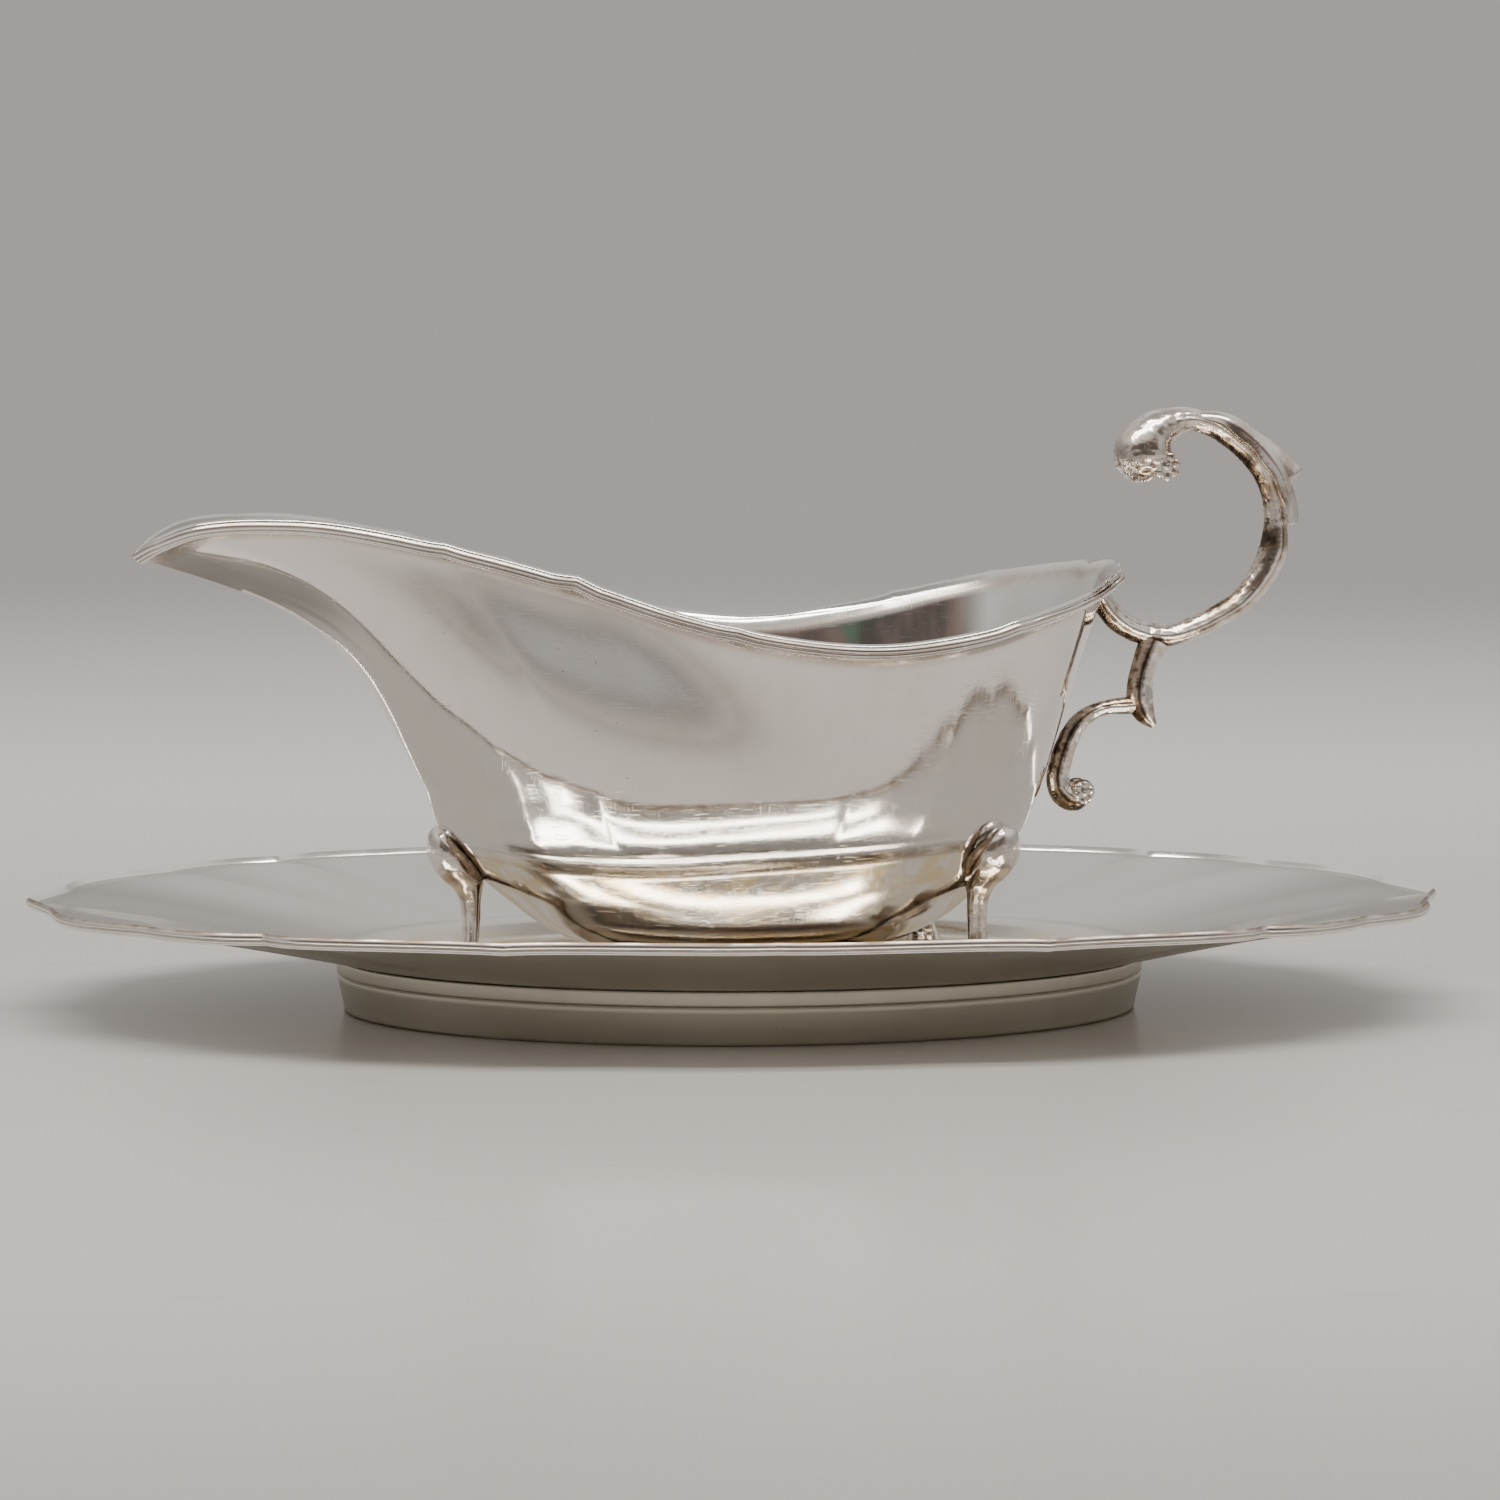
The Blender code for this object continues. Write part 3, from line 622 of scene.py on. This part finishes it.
def build_stand():
    o = outline_frame()
    edge = np.column_stack([OUT, np.zeros(len(OUT))]) - 1.3 * o
    prof = [(0.10, 0.10, 7.0), (0.45, 0.45, 7.0), (0.80, 0.80, 7.0)]
    rings = [ellipse(60 * a, 36.8 * a, z) for a, _, z in prof]
    for a, b, z in spline([(60.0, 36.8, 7.0), (61.8, 38.0, 7.12), (63.2, 39.0, 7.6), (64.8, 40.2, 8.7), (66.3, 41.3, 9.6),
                           (68.2, 43.0, 10.2), (70.2, 44.6, 10.5)], 4):
        rings.append(ellipse(a, b, z))
    inner = rings[-1]
    rise = 19.30 - 10.5
    g = spline([(0, 0), (0.2, 0.24), (0.45, 0.52), (0.7, 0.77), (0.88, 0.92), (1.0, 1.0)], 5)
    for f, h in g[1:]:
        r = lerp(inner, edge, f)
        r[:, 2] = 10.5 + rise * h + droop(edge[:, 0]) * f
        rings.append(r)
    # lip under the border
    last = rings[-1].copy()
    last[:, :2] += 0.6 * o[:, :2]
    last[:, 2] += 0.55
    rings.append(last)
    R = np.array(rings)
    me = loft("dish", R, start=(0, 0, 7.0))
    orient(me, closed=False)
    if sum(p.normal.z * p.area for p in me.polygons) < 0:
        me.flip_normals()
    m = len(rings)
    # dark band at the flange's outer edge under the border: tarnish in that corner all round, plus heavier hatched
    # darkness on the near side only as painted shade
    tarnish_and_shade = np.zeros((m, STAND_N))
    tarnish_and_shade[-5:] = np.array([0.1, 0.25, 0.5, 0.7, 0.8])[:, None]
    wide = np.clip((95 - np.abs(edge[:, 0])) / 40, 0, 1) * (edge[:, 1] < 0)
    hatch = np.array([0.75 + 0.6 * fbm((q[0] * 0.9, 0.0, 2.0), 3) for q in edge])
    for k, v in enumerate((0.35, 0.8, 1.15, 1.25, 1.25)):
        tarnish_and_shade[m - 6 + k] = np.maximum(tarnish_and_shade[m - 6 + k], v * wide * hatch)
    paint(me, 'tarnish_and_shade', np.concatenate([tarnish_and_shade.reshape(-1), [0]]))
    flat = len(me.vertices)
    tmp = bpy.data.objects.new("tmp_dish", me)
    bpy.context.scene.collection.objects.link(tmp)
    s = tmp.modifiers.new("sheet", "SOLIDIFY")
    s.thickness = 0.9 * MM
    s.offset = -1.0
    s.use_even_offset = False
    whole = baked(tmp)
    bpy.data.objects.remove(tmp, do_unlink=True)
    whole.name = "dish"
    # the underside shell gets the 'under' layer, which the material paints lighter (painted light)
    paint(whole, 'under', (np.arange(len(whole.vertices)) >= flat).astype(float))
    place("dish", whole, M_DISH, "stand", ("stand_dish",), sharp=60)

    # border, tilted up and out
    phi = math.radians(42)
    up = np.array([0, 0, 1.0])
    d = math.cos(phi) * up + math.sin(phi) * o
    nrm = -math.sin(phi) * up + math.cos(phi) * o
    c = np.column_stack([OUT, 19.15 + droop(OUT[:, 0])]) - 1.22 * o
    # inner=1.15 paints the band's back face dark on the near side only: painted shade
    reeded("dish_border", c, unit(d), unit(nrm), 2.3, 0.95, 3, M_BORDER, "stand", "stand_border", False,
           dark=0.9, rough_seed=4.0, inner=1.15)

    # foot ring
    t = np.linspace(0, 2 * np.pi, 361)[:-1]
    prof = [(67.2, 9.0), (68.3, 8.9), (68.42, 8.75), (68.40, 8.0), (68.35, 7.2), (68.30, 6.62), (68.20, 6.5), (68.02, 6.42),
            (68.05, 6.3), (68.22, 6.15), (68.2, 5.6), (67.95, 4.4), (67.65, 3.0), (67.3, 1.5), (67.15, 0.7), (67.1, 0.35),
            (66.95, 0.08), (66.6, 0.0), (65.4, 0.0), (65.1, 0.15), (65.2, 0.9), (65.9, 2.4), (66.9, 5.2), (67.1, 6.6)]
    # darkness down the profile: tarnish in the groove at mid height; painted shade where the ring meets the dish
    # above and the floor below, and on its inner face
    dark = [0.9, 0.9, 0.35, 0.25, 0.25, 0.30, 0.6, 0.8,
            0.6, 0.15, 0.05, 0.0, 0.0, 0.05, 0.2, 0.5,
            0.9, 0.9, 0.6, 0.5, 0.4, 0.4, 0.4, 0.6]
    fine, fd = [], []
    for (p, q, a, b) in zip(prof, prof[1:], dark, dark[1:]):
        for k in range(3):
            fine.append((lerp(p[0], q[0], k / 3), lerp(p[1], q[1], k / 3)))
            fd.append(lerp(a, b, k / 3))
    fine.append(prof[-1])
    fd.append(dark[-1])
    base = np.tile(np.ones(len(fine)), len(t))
    R = np.array([[(a * math.cos(x), (a * 0.622) * math.sin(x), z) for a, z in fine] for x in t])
    me = loft("dish_foot", R, close=True)
    orient(me)
    paint(me, 'tarnish_and_shade', np.tile(np.array(fd), len(t)))
    # the whole ring takes the underside's olive, painted lighter, before the shade multiply darkens it
    paint(me, 'under', base)
    place("dish_foot", me, M_FOOTRING, "stand", ("stand_foot_ring",), sharp=60)


# ================================================================ handle
SCROLL = [(62.6, 70.1, 1.7), (65.7, 65.7, 2.0), (69.0, 63.3, 2.0), (72.8, 62.1, 2.0),
          (76.8, 62.0, 2.0), (81.0, 63.2, 2.0), (85.0, 65.0, 2.0), (89.6, 67.7, 2.1),
          (93.2, 71.9, 2.4), (95.3, 76.3, 2.6), (95.7, 80.3, 2.2), (95.5, 83.7, 2.0),
          (94.5, 87.5, 1.9), (92.1, 91.5, 1.9), (88.5, 95.0, 1.9), (84.0, 97.9, 1.9),
          (79.6, 99.1, 2.1), (76.0, 98.5, 2.8), (73.0, 96.7, 4.0), (71.3, 93.8, 5.1),
          (71.0, 90.9, 4.4), (71.3, 88.5, 1.6)]
STRUT = [(73.6, 61.0, 2.9), (72.9, 59.4, 2.55), (71.9, 57.0, 2.25), (71.1, 53.5, 2.3), (71.2, 50.5, 2.4),
         (72.2, 48.2, 1.8), (73.7, 46.3, 0.7)]
FOOTING = [(70.7, 49.9, 1.5), (68.0, 49.8, 1.5), (65.2, 49.6, 1.3), (62.3, 48.7, 1.4),
           (59.7, 46.7, 1.7), (57.9, 43.6, 1.9), (56.8, 40.3, 2.0), (56.3, 37.5, 2.1),
           (57.1, 35.2, 2.3), (59.1, 34.2, 2.5), (60.9, 34.6, 2.0), (62.1, 35.2, 0.9)]
LEAF = [(80.0, 99.1, 2.2, 1.2), (84.2, 97.9, 2.2, 1.5), (88.5, 95.0, 2.2, 1.6),
        (92.1, 91.5, 2.2, 1.7), (94.5, 87.5, 2.2, 1.6), (95.6, 83.6, 2.4, 1.5),
        (95.8, 80.9, 2.5, 1.3)]


def bar(name, stations, per, section, cols=48, rough=None):
    """Cast bar in the boat's middle plane. section(angle, share) gives (radius factor, darkness)."""
    path = spline(stations, per)
    P = np.array([(p[0], p[1]) for p in path])
    R = np.array([p[2] for p in path])
    t = unit(np.gradient(P, axis=0))
    nn = np.stack([t[:, 1], -t[:, 0]], 1)
    m = len(P)
    rings = np.zeros((m, cols, 3))
    dark = np.zeros((m, cols))
    for i in range(m):
        u = i / (m - 1)
        for k in range(cols):
            a = 2 * math.pi * k / cols
            f, dk = section(a, u)
            q = R[i] * f
            x, z = P[i] + nn[i] * q * math.cos(a)
            y = q * math.sin(a)
            rings[i, k] = (x, y, z)
            dark[i, k] = dk
    if rough:
        for i in range(m):
            u = i / (m - 1)
            c = np.array([P[i, 0], 0.0, P[i, 1]])
            for k in range(cols):
                p = rings[i, k]
                dv = p - c
                ln = np.linalg.norm(dv) + 1e-6
                h, dk = rough(p, u, 2 * math.pi * k / cols)
                rings[i, k] = p + dv / ln * h
                dark[i, k] += dk
    me = loft(name, rings, start=(P[0, 0], 0, P[0, 1]), end=(P[-1, 0], 0, P[-1, 1]))
    orient(me)
    paint(me, 'tarnish_and_shade', np.concatenate([np.clip(dark, 0, 1.4).reshape(-1), [0.6, 0.6]]))
    return me


def window(u, a, b, soft=0.05):
    return min(1.0, max(0.0, (u - a) / soft)) * min(1.0, max(0.0, (b - u) / soft))


def round_from(u):
    k = min(1.0, max(0.0, (u - 0.76) / 0.10))
    return k * k * (3 - 2 * k)


def scroll_section(a, u):
    return bar_section(a, u, True)


def bar_section(a, u, curl=False):
    """Bar with four soft facets, a ridge along each side and a keel on its outer spine."""
    c, s = math.cos(a), math.sin(a)
    full = 1 - round_from(u) if curl else 1.0
    q = lerp(2.0, 1.52, full)
    f = (abs(c) ** q + abs(s) ** q) ** (-1 / q)
    ridge = full * math.exp(-(abs(c) / 0.16) ** 2)
    groove = math.exp(-((abs(c) - 0.34) / 0.12) ** 2) * (1.0 if c > 0 else 0.25) * full
    f += 0.035 * ridge - 0.045 * groove
    return f, 0.75 * groove + 0.30 * max(0.0, -c) * (1 - ridge)


def cast_rough(p, u, a):
    v = fbm((p[0] * 0.9, p[1] * 0.9, p[2] * 0.9), 4)
    w = fbm((p[0] * 0.22 + 7, p[1] * 0.22, p[2] * 0.22), 2)
    fine = fbm((p[0] * 2.4, p[1] * 2.4 + 3, p[2] * 2.4), 3)
    edge = max(0.0, -math.cos(a)) ** 3
    return 0.07 * v + 0.09 * edge * fine, max(0.0, -v) * 0.6 + max(0.0, w) * 0.75 + edge * max(0.0, -fine) * 0.7


def outer_facet_darkening(p, u, a):
    h, dk = cast_rough(p, u, a)
    # brown darkening over the outer half of the bar, except along the side ridges, halved towards the bar's end
    return h, dk + 0.78 * max(0.0, math.cos(a) + 0.25) ** 0.5 * (1 - math.exp(-(math.cos(a) / 0.14) ** 2)) * (1 - 0.5 * window(u, 0.85, 1.1))


def scroll_rough(p, u, a):
    """Smooth along the bar, chased and pitted in the curl at the end."""
    h, dk = cast_rough(p, u, a)
    outer, within = max(0.0, math.cos(a)) ** 0.5, max(0.0, -math.cos(a)) ** 0.5
    keep = 1 - math.exp(-(math.cos(a) / 0.14) ** 2)
    # brown darkening on chosen facets along set stretches of the bar
    dk += keep * (0.95 * outer * window(u, -0.1, 0.22) + 0.80 * window(u, 0.37, 0.53, 0.08) * (0.4 + 0.6 * within)
                  + 0.85 * within * window(u, 0.50, 0.78, 0.06) + 0.5 * within * window(u, 0.24, 0.40, 0.08))
    k = min(1.0, max(0.0, (u - 0.86) / 0.07))
    low = min(1.0, max(0.0, (96.5 - p[2]) / 5.0))
    k *= low
    if k > 0:
        v = fbm((p[0] * 0.75 + 3, p[1] * 0.75, p[2] * 0.75), 5)
        cell = noise.voronoi(Vector((p[0] * 0.62, p[1] * 0.62, p[2] * 0.62)))[0][0]
        h += k * (0.45 * v - 0.55 * math.exp(-(cell / 0.22) ** 2))
        dk += k * (1.0 * math.exp(-(cell / 0.30) ** 2) + max(0, -v) * 0.9)
    return h, dk


def blob(bm, c, r, sub=3):
    bmesh.ops.create_icosphere(bm, subdivisions=sub, radius=1.0, matrix=Matrix.Translation(Vector(c) * MM)
                               @ Matrix.Diagonal((r[0] * MM, r[1] * MM, r[2] * MM, 1.0)))


def rosette(name, cx, cz, y, r, count, petal, core, body_r, slot_mat):
    """Small flower on each face of a scroll's end, melted into one skin."""
    bm = bmesh.new()
    for s in (-1, 1):
        blob(bm, (cx, s * y * 0.62, cz), (body_r, y * 0.5, body_r))
        blob(bm, (cx, s * y, cz), (core, core * 0.7, core))
        for k in range(count):
            a = 2 * math.pi * (k + 0.3) / count
            blob(bm, (cx + r * math.cos(a), s * (y - 0.12), cz + r * math.sin(a)), (petal, petal * 0.62, petal))
    me = bpy.data.meshes.new(name)
    bm.to_mesh(me)
    bm.free()
    tmp = bpy.data.objects.new("tmp_" + name, me)
    bpy.context.scene.collection.objects.link(tmp)
    rm = tmp.modifiers.new("skin", "REMESH")
    rm.mode = 'VOXEL'
    rm.voxel_size = 0.00014
    out = baked(tmp)
    bpy.data.objects.remove(tmp, do_unlink=True)
    n = len(out.vertices)
    co = np.zeros(n * 3)
    out.vertices.foreach_get('co', co)
    co = co.reshape(-1, 3) / MM
    no = np.zeros(n * 3)
    out.vertices.foreach_get('normal', no)
    no = no.reshape(-1, 3)
    dark = np.zeros(n)
    for i in range(n):
        x, yy, z = co[i]
        best = 9.0
        rr = math.hypot(x - cx, z - cz)
        depth = abs(yy) - (y - 0.15)
        v = fbm((x * 1.3, yy * 1.3, z * 1.3), 3)
        co[i] += no[i] * (0.07 * v)
        dark[i] = max(0.0, min(1.2, 0.55 - depth * 1.5 + (-v) * 0.5))
    out.vertices.foreach_set('co', (co * MM).reshape(-1))
    out.update()
    paint(out, 'tarnish_and_shade', dark)
    return out


def build_handle():
    me = bar("handle_bar", SCROLL, 14, scroll_section, cols=56, rough=scroll_rough)
    place("handle_bar", me, M_CAST, "boat", ("handle_scroll",), turn=True, sharp=60)
    me = rosette("handle_flower", 74.0, 91.2, 3.9, 1.75, 7, 0.86, 0.80, 2.2, M_CAST)
    place("handle_flower", me, M_CAST, "boat", (), turn=True, sharp=60)
    me = bar("handle_footing", FOOTING, 14, bar_section, cols=48, rough=outer_facet_darkening)
    place("handle_footing", me, M_CAST, "boat", ("handle_lower_scroll",), turn=True, sharp=60)
    me = bar("handle_strut", STRUT, 12, bar_section, cols=48, rough=outer_facet_darkening)
    place("handle_strut", me, M_CAST, "boat", (), turn=True, sharp=60)
    me = rosette("handle_rosette", 60.2, 35.1, 2.45, 1.35, 6, 0.66, 0.62, 2.3, M_CAST)
    place("handle_rosette", me, M_CAST, "boat", (), turn=True, sharp=60)

    # leaf round the outside of the scroll, with its thumb spur
    path = spline(LEAF, 22)
    P = np.array([(p[0], p[1]) for p in path])
    t = unit(np.gradient(P, axis=0))
    rings, dark = [], []
    m = len(path)
    for i, (x, z, r, th) in enumerate(path):
        nx, nz = -t[i, 1], t[i, 0]
        u = i / (m - 1)
        wide = 70.0 + 14.0 * math.sin(math.pi * u) + 2.5 * math.sin(9 * math.pi * u)
        if u < 0.655:
            spur = 3.0 * max(0.0, (u - 0.33) / 0.325) ** 1.35
        else:
            spur = 3.0 * max(0.0, 1 - (u - 0.655) / 0.05) ** 1.3
        grow = min(1.0, u / 0.30)
        grow = grow * grow * (3 - 2 * grow)
        base = r - 0.75
        sec, dk = [], []
        for k in range(19):
            g = math.radians(lerp(-wide, wide, k / 18))
            sec.append((x + nx * base * math.cos(g), base * math.sin(g), z + nz * base * math.cos(g)))
            dk.append(0.2)
        for k in range(18, -1, -1):
            s = lerp(-1, 1, k / 18)
            g = math.radians(wide * s)
            vein = 0.10 * math.cos(6 * math.pi * s)
            e = th * (0.40 + 0.60 * math.cos(g)) + vein * (0.4 if abs(s) < 0.2 else 1.0)
            e += spur * max(0.0, math.cos(g)) ** 9
            end = min(1.0, (1.001 - u) / 0.012)
            q = r - 0.45 * (1 - grow) + max(e * grow * (0.55 + 0.45 * end), -0.1)
            sec.append((x + nx * q * math.cos(g), q * math.sin(g), z + nz * q * math.cos(g)))
            dk.append(0.25 * max(0.0, -math.cos(6 * math.pi * s)) + (0.6 if abs(s) > 0.93 else 0.0))
        rings.append(sec)
        dark.append(dk)
    me = loft("handle_leaf_look", rings, cap_start=True, cap_end=True)
    orient(me)
    paint(me, 'tarnish_and_shade', np.array(dark).reshape(-1))
    place("handle_leaf_look", me, M_CAST, "boat", ("handle_leaf",), turn=True, sharp=45)


# ================================================================ feet
FOOT = [(32.0, 2.2, 0.3, 0.6), (31.6, 2.1, 1.1, 1.8), (30.6, 1.8, 2.1, 3.2), (29.0, 1.3, 2.9, 4.2),
        (27.2, 0.8, 3.35, 4.6), (25.4, 0.1, 3.45, 4.45), (23.9, -0.9, 3.45, 3.95), (22.7, -1.9, 3.3, 3.4),
        (21.4, -2.6, 2.5, 2.8), (19.5, -3.0, 1.8, 2.4), (16.4, -3.1, 1.55, 2.2),
        (13.0, -3.0, 1.4, 2.3), (10.6, -2.6, 1.6, 2.6), (8.8, -2.0, 2.2, 3.15), (7.8, -1.8, 2.45, 3.4), (7.3, -1.8, 2.35, 3.3)]


def build_foot(name, node, x, y, bearing):
    cols = 56
    rings, dark = [], []
    for z, c, dd, w in spline(FOOT, 7):
        sec, dk = [], []
        for k in range(cols):
            a = 2 * math.pi * k / cols
            leg = min(1.0, max(0.0, (22.5 - z) / 3.0))
            flat = 1.0 - 0.10 * leg * math.exp(-((abs(math.sin(a)) - 0.6) / 0.15) ** 2)
            p = (c + dd * flat * math.cos(a), w * flat * math.sin(a), z)
            v = fbm((p[0] * 0.8 + x, p[1] * 0.8 + y, z * 0.8), 3)
            q = 1 + 0.02 * v * (0.4 + leg)
            sec.append(((p[0] - c) * q + c, p[1] * q, z))
            seam = math.exp(-((z - 23.2 + 0.4 * math.cos(2 * a)) / 0.7) ** 2)
            dk.append(min(1.2, 0.55 * seam + 0.45 * leg * max(0.0, fbm((p[0] * .5, p[1] * .5, z * 0.4 + y), 3) + 0.2)
                          + (0.5 * leg if abs(abs(math.sin(a)) - 0.6) < 0.12 else 0.0)))
        rings.append(sec)
        dark.append(dk)
    me = loft(name, rings, cap_start=True, cap_end=True)
    orient(me)
    paint(me, 'tarnish_and_shade', np.array(dark).reshape(-1))
    me.transform(Matrix.Translation((x * MM, y * MM, 0)) @ Matrix.Rotation(math.radians(bearing), 4, 'Z'))
    place(name, me, M_CAST, "boat", (node,), turn=True, sharp=55)

    # solder, a rough collar where the foot meets the belly
    b = math.radians(bearing)
    rings, dark = [], []
    N = 130
    cx, cz = -1.0, 26.9
    for i in range(N):
        a = 2 * math.pi * i / N
        u = 5.6 * math.cos(a)
        w = 4.9 * math.sin(a)
        slope = math.radians(47)
        c = np.array([cx + u * math.sin(slope) * 0.78, w, cz + u * math.cos(slope) * 1.0])
        tt = np.array([-5.6 * math.sin(a) * math.sin(slope) * 0.78, 4.9 * math.cos(a), -5.6 * math.sin(a) * math.cos(slope)])
        tt = unit(tt)
        n1 = unit(np.array([math.cos(slope), 0, -math.sin(slope)]) * 1.0)
        n1 = unit(n1 - tt * np.dot(n1, tt))
        n2 = np.cross(tt, n1)
        sec, dk = [], []
        for k in range(14):
            g = 2 * math.pi * k / 14
            v = fbm((c[0] * 0.8 + x + 2 * math.cos(g), c[1] * 0.8 + y, c[2] * 0.8 + 2 * math.sin(g)), 4)
            r = 0.62 + 0.30 * v
            sec.append(tuple(c + r * (math.cos(g) * n1 + math.sin(g) * n2)))
            dk.append(0.75 + 0.6 * v)
        rings.append(sec)
        dark.append(dk)
    me = loft(name + "_solder", rings, close=True)
    orient(me)
    paint(me, 'tarnish_and_shade', np.clip(np.array(dark), 0, 1.3).reshape(-1))
    me.transform(Matrix.Translation((x * MM, y * MM, 0)) @ Matrix.Rotation(b, 4, 'Z'))
    place(name + "_solder", me, M_SOLDER, "boat", (), turn=True, sharp=60)


build_stand()
build_bowl()
rim, dd, nn, oo, uu, ff = closed_rim(900)
w = np.interp(ff, [0, 0.1, 0.3, 0.5, 0.8, 1.0], [2.0, 2.1, 2.4, 2.4, 2.2, 1.9])
reeded("bowl_border", rim, dd, nn, 2.3, 0.85, 3, M_BORDER, "boat", "boat_border", True, dark=1.2)
build_handle()
build_foot("front_foot", "foot_front", -49.8, 0.0, 180.0)
build_foot("rear_foot_near", "foot_rear_right", 38.6, -18.6, -50.0)
build_foot("rear_foot_far", "foot_rear_left", 38.6, 18.6, 50.0)


# ================================================================ stage
def stage_floor():
    bm = bmesh.new()
    bmesh.ops.create_grid(bm, x_segments=2, y_segments=2, size=9.0)
    me = bpy.data.meshes.new("floor")
    bm.to_mesh(me)
    bm.free()
    ob = bpy.data.objects.new("floor", me)
    bpy.context.scene.collection.objects.link(ob)
    m, nt = nodes_of("floor_card")
    n = Net(nt)
    x, y = n.axis(0), n.axis(1)
    rad = n.math('SQRT', n.math('ADD', n.math('POWER', x, 2.0), n.math('POWER', y, 2.0)))
    # lighter outwards from the stand: painted light making up for the lamps' fall-off
    col = n.mix(n.remap(rad, 0.2, 0.8), (0.545, 0.525, 0.508), (0.56, 0.543, 0.53))
    cloud = n.noise(6.0, 4)
    col = n.mix(n.math('MULTIPLY', n.remap(cloud, 0.35, 0.7), 0.10), col, (0.52, 0.50, 0.485))
    sc = n.noise(1.0, 2, 0.4, vec=n.mapped((38, 160, 1), (0, 0, 0.6)))
    mark = n.math('MULTIPLY', n.remap(sc, 0.70, 0.76), 0.16)
    col = n.mix(mark, col, (0.36, 0.34, 0.32))
    # lighter behind the stand, painted light making up for the lamps' fall-off there; then darker in front of it (y <
    # -0.19), painted shade
    col = n.mix(n.remap(y, 0.06, 0.42), col, (0.93, 0.90, 0.885))
    col = n.mix(n.remap(y, -0.19, -0.33), col, (0.40, 0.382, 0.368))
    b = n.finish(col, 0.26, metallic=0.0)
    n.link(n.remap(y, -0.34, -0.22, 0.0, 0.6), b.inputs['Specular IOR Level'])
    clear = n.node('ShaderNodeBsdfTransparent')
    mixer = n.node('ShaderNodeMixShader')
    n.link(n.remap(rad, 0.50, 1.30), mixer.inputs[0])
    n.link(b.outputs[0], mixer.inputs[1])
    n.link(clear.outputs[0], mixer.inputs[2])
    out = [k for k in nt.nodes if k.type == 'OUTPUT_MATERIAL'][0]
    n.link(mixer.outputs[0], out.inputs[0])
    me.materials.append(m)


stage_floor()


def area(name, loc, target, sx, sy, power, colour):
    li = bpy.data.lights.new(name, 'AREA')
    li.shape = 'RECTANGLE'
    li.size, li.size_y = sx, sy
    li.energy = power
    li.color = colour
    ob = bpy.data.objects.new(name, li)
    bpy.context.scene.collection.objects.link(ob)
    ob.location = loc
    ob.rotation_mode = 'QUATERNION'
    ob.rotation_quaternion = (Vector(target) - Vector(loc)).to_track_quat('-Z', 'Y')
    ob.visible_camera = False
    return ob


area("strip_front", (0.0, -0.206, 0.62), (0, -0.10, 0), 0.80, 0.05, 2.8, (1.0, 0.955, 0.89))
area("strip_back", (0.0, -0.092, 0.62), (0, -0.03, 0), 0.80, 0.05, 2.8, (1.0, 0.955, 0.89))


def world():
    w = bpy.data.worlds.new("booth")
    bpy.context.scene.world = w
    w.use_nodes = True
    nt = w.node_tree
    nt.nodes.clear()
    n = Net(nt)
    tc = [k for k in nt.nodes if k.type == 'TEX_COORD'][0]
    v = tc.outputs['Generated']
    x, y, z = n.axis(0, v), n.axis(1, v), n.axis(2, v)
    up = n.remap(z, 0.08, 0.60)
    col = n.mix(n.remap(z, -0.100, -0.055), (0.560, 0.530, 0.510), (0.418, 0.390, 0.370))
    near = n.math('MULTIPLY', n.remap(y, -0.15, -0.40), n.remap(z, 0.14, 0.06))
    col = n.mix(near, col, (0.54, 0.515, 0.495))
    col = n.mix(up, col, (0.88, 0.86, 0.835))
    top = n.remap(z, 0.80, 0.97)
    col = n.mix(top, col, (0.43, 0.42, 0.41))
    front = n.math('MULTIPLY', n.remap(y, -0.28, -0.62), n.math('MULTIPLY', n.remap(z, 0.74, 0.55), n.remap(z, 0.06, 0.14)))
    # things standing about in the room in front of the booth
    patches = n.noise(3.2, 3, 0.6, vec=v)
    room = n.mix(n.remap(patches, 0.42, 0.62), (0.10, 0.095, 0.085), (0.25, 0.185, 0.165))
    green = n.math('MULTIPLY', n.remap(n.noise(2.3, 2, 0.5, vec=n.mapped((1, 1, 1), (1.1, 0.4, 2.0), v)), 0.56, 0.66), 1.0)
    room = n.mix(green, room, (0.10, 0.20, 0.14))
    col = n.mix(front, col, room)
    bg = n.node('ShaderNodeBackground')
    n.link(col, bg.inputs[0])
    bg.inputs[1].default_value = 1.0
    o = n.node('ShaderNodeOutputWorld')
    n.link(bg.outputs[0], o.inputs[0])


world()


# ================================================================ camera
def camera(cx=1.26, dist=700.0, height=113.0, pitch=0.0989, roll=-0.0052, f=4168.0, psi=0.090):
    cp, sp = math.cos(pitch), math.sin(pitch)
    fwd = Vector((0, cp, -sp))
    right = Vector((1, 0, 0))
    down = fwd.cross(right)
    cr, sr = math.cos(roll), math.sin(roll)
    ix = cr * right + sr * down
    iy = -sr * right + cr * down
    R = Matrix((ix, -iy, -fwd)).transposed()
    Z = Matrix.Rotation(-psi, 3, 'Z')
    R = Z @ R
    loc = Z @ Vector((cx, -dist, height)) * MM
    cam = bpy.data.cameras.new("camera")
    ob = bpy.data.objects.new("camera", cam)
    bpy.context.scene.collection.objects.link(ob)
    M = R.to_4x4()
    M.translation = loc
    ob.matrix_world = M
    cam.sensor_width = 36
    cam.lens = f / 1500 * 36
    cam.clip_start = 0.01
    cam.clip_end = 60.0
    bpy.context.scene.camera = ob


camera()
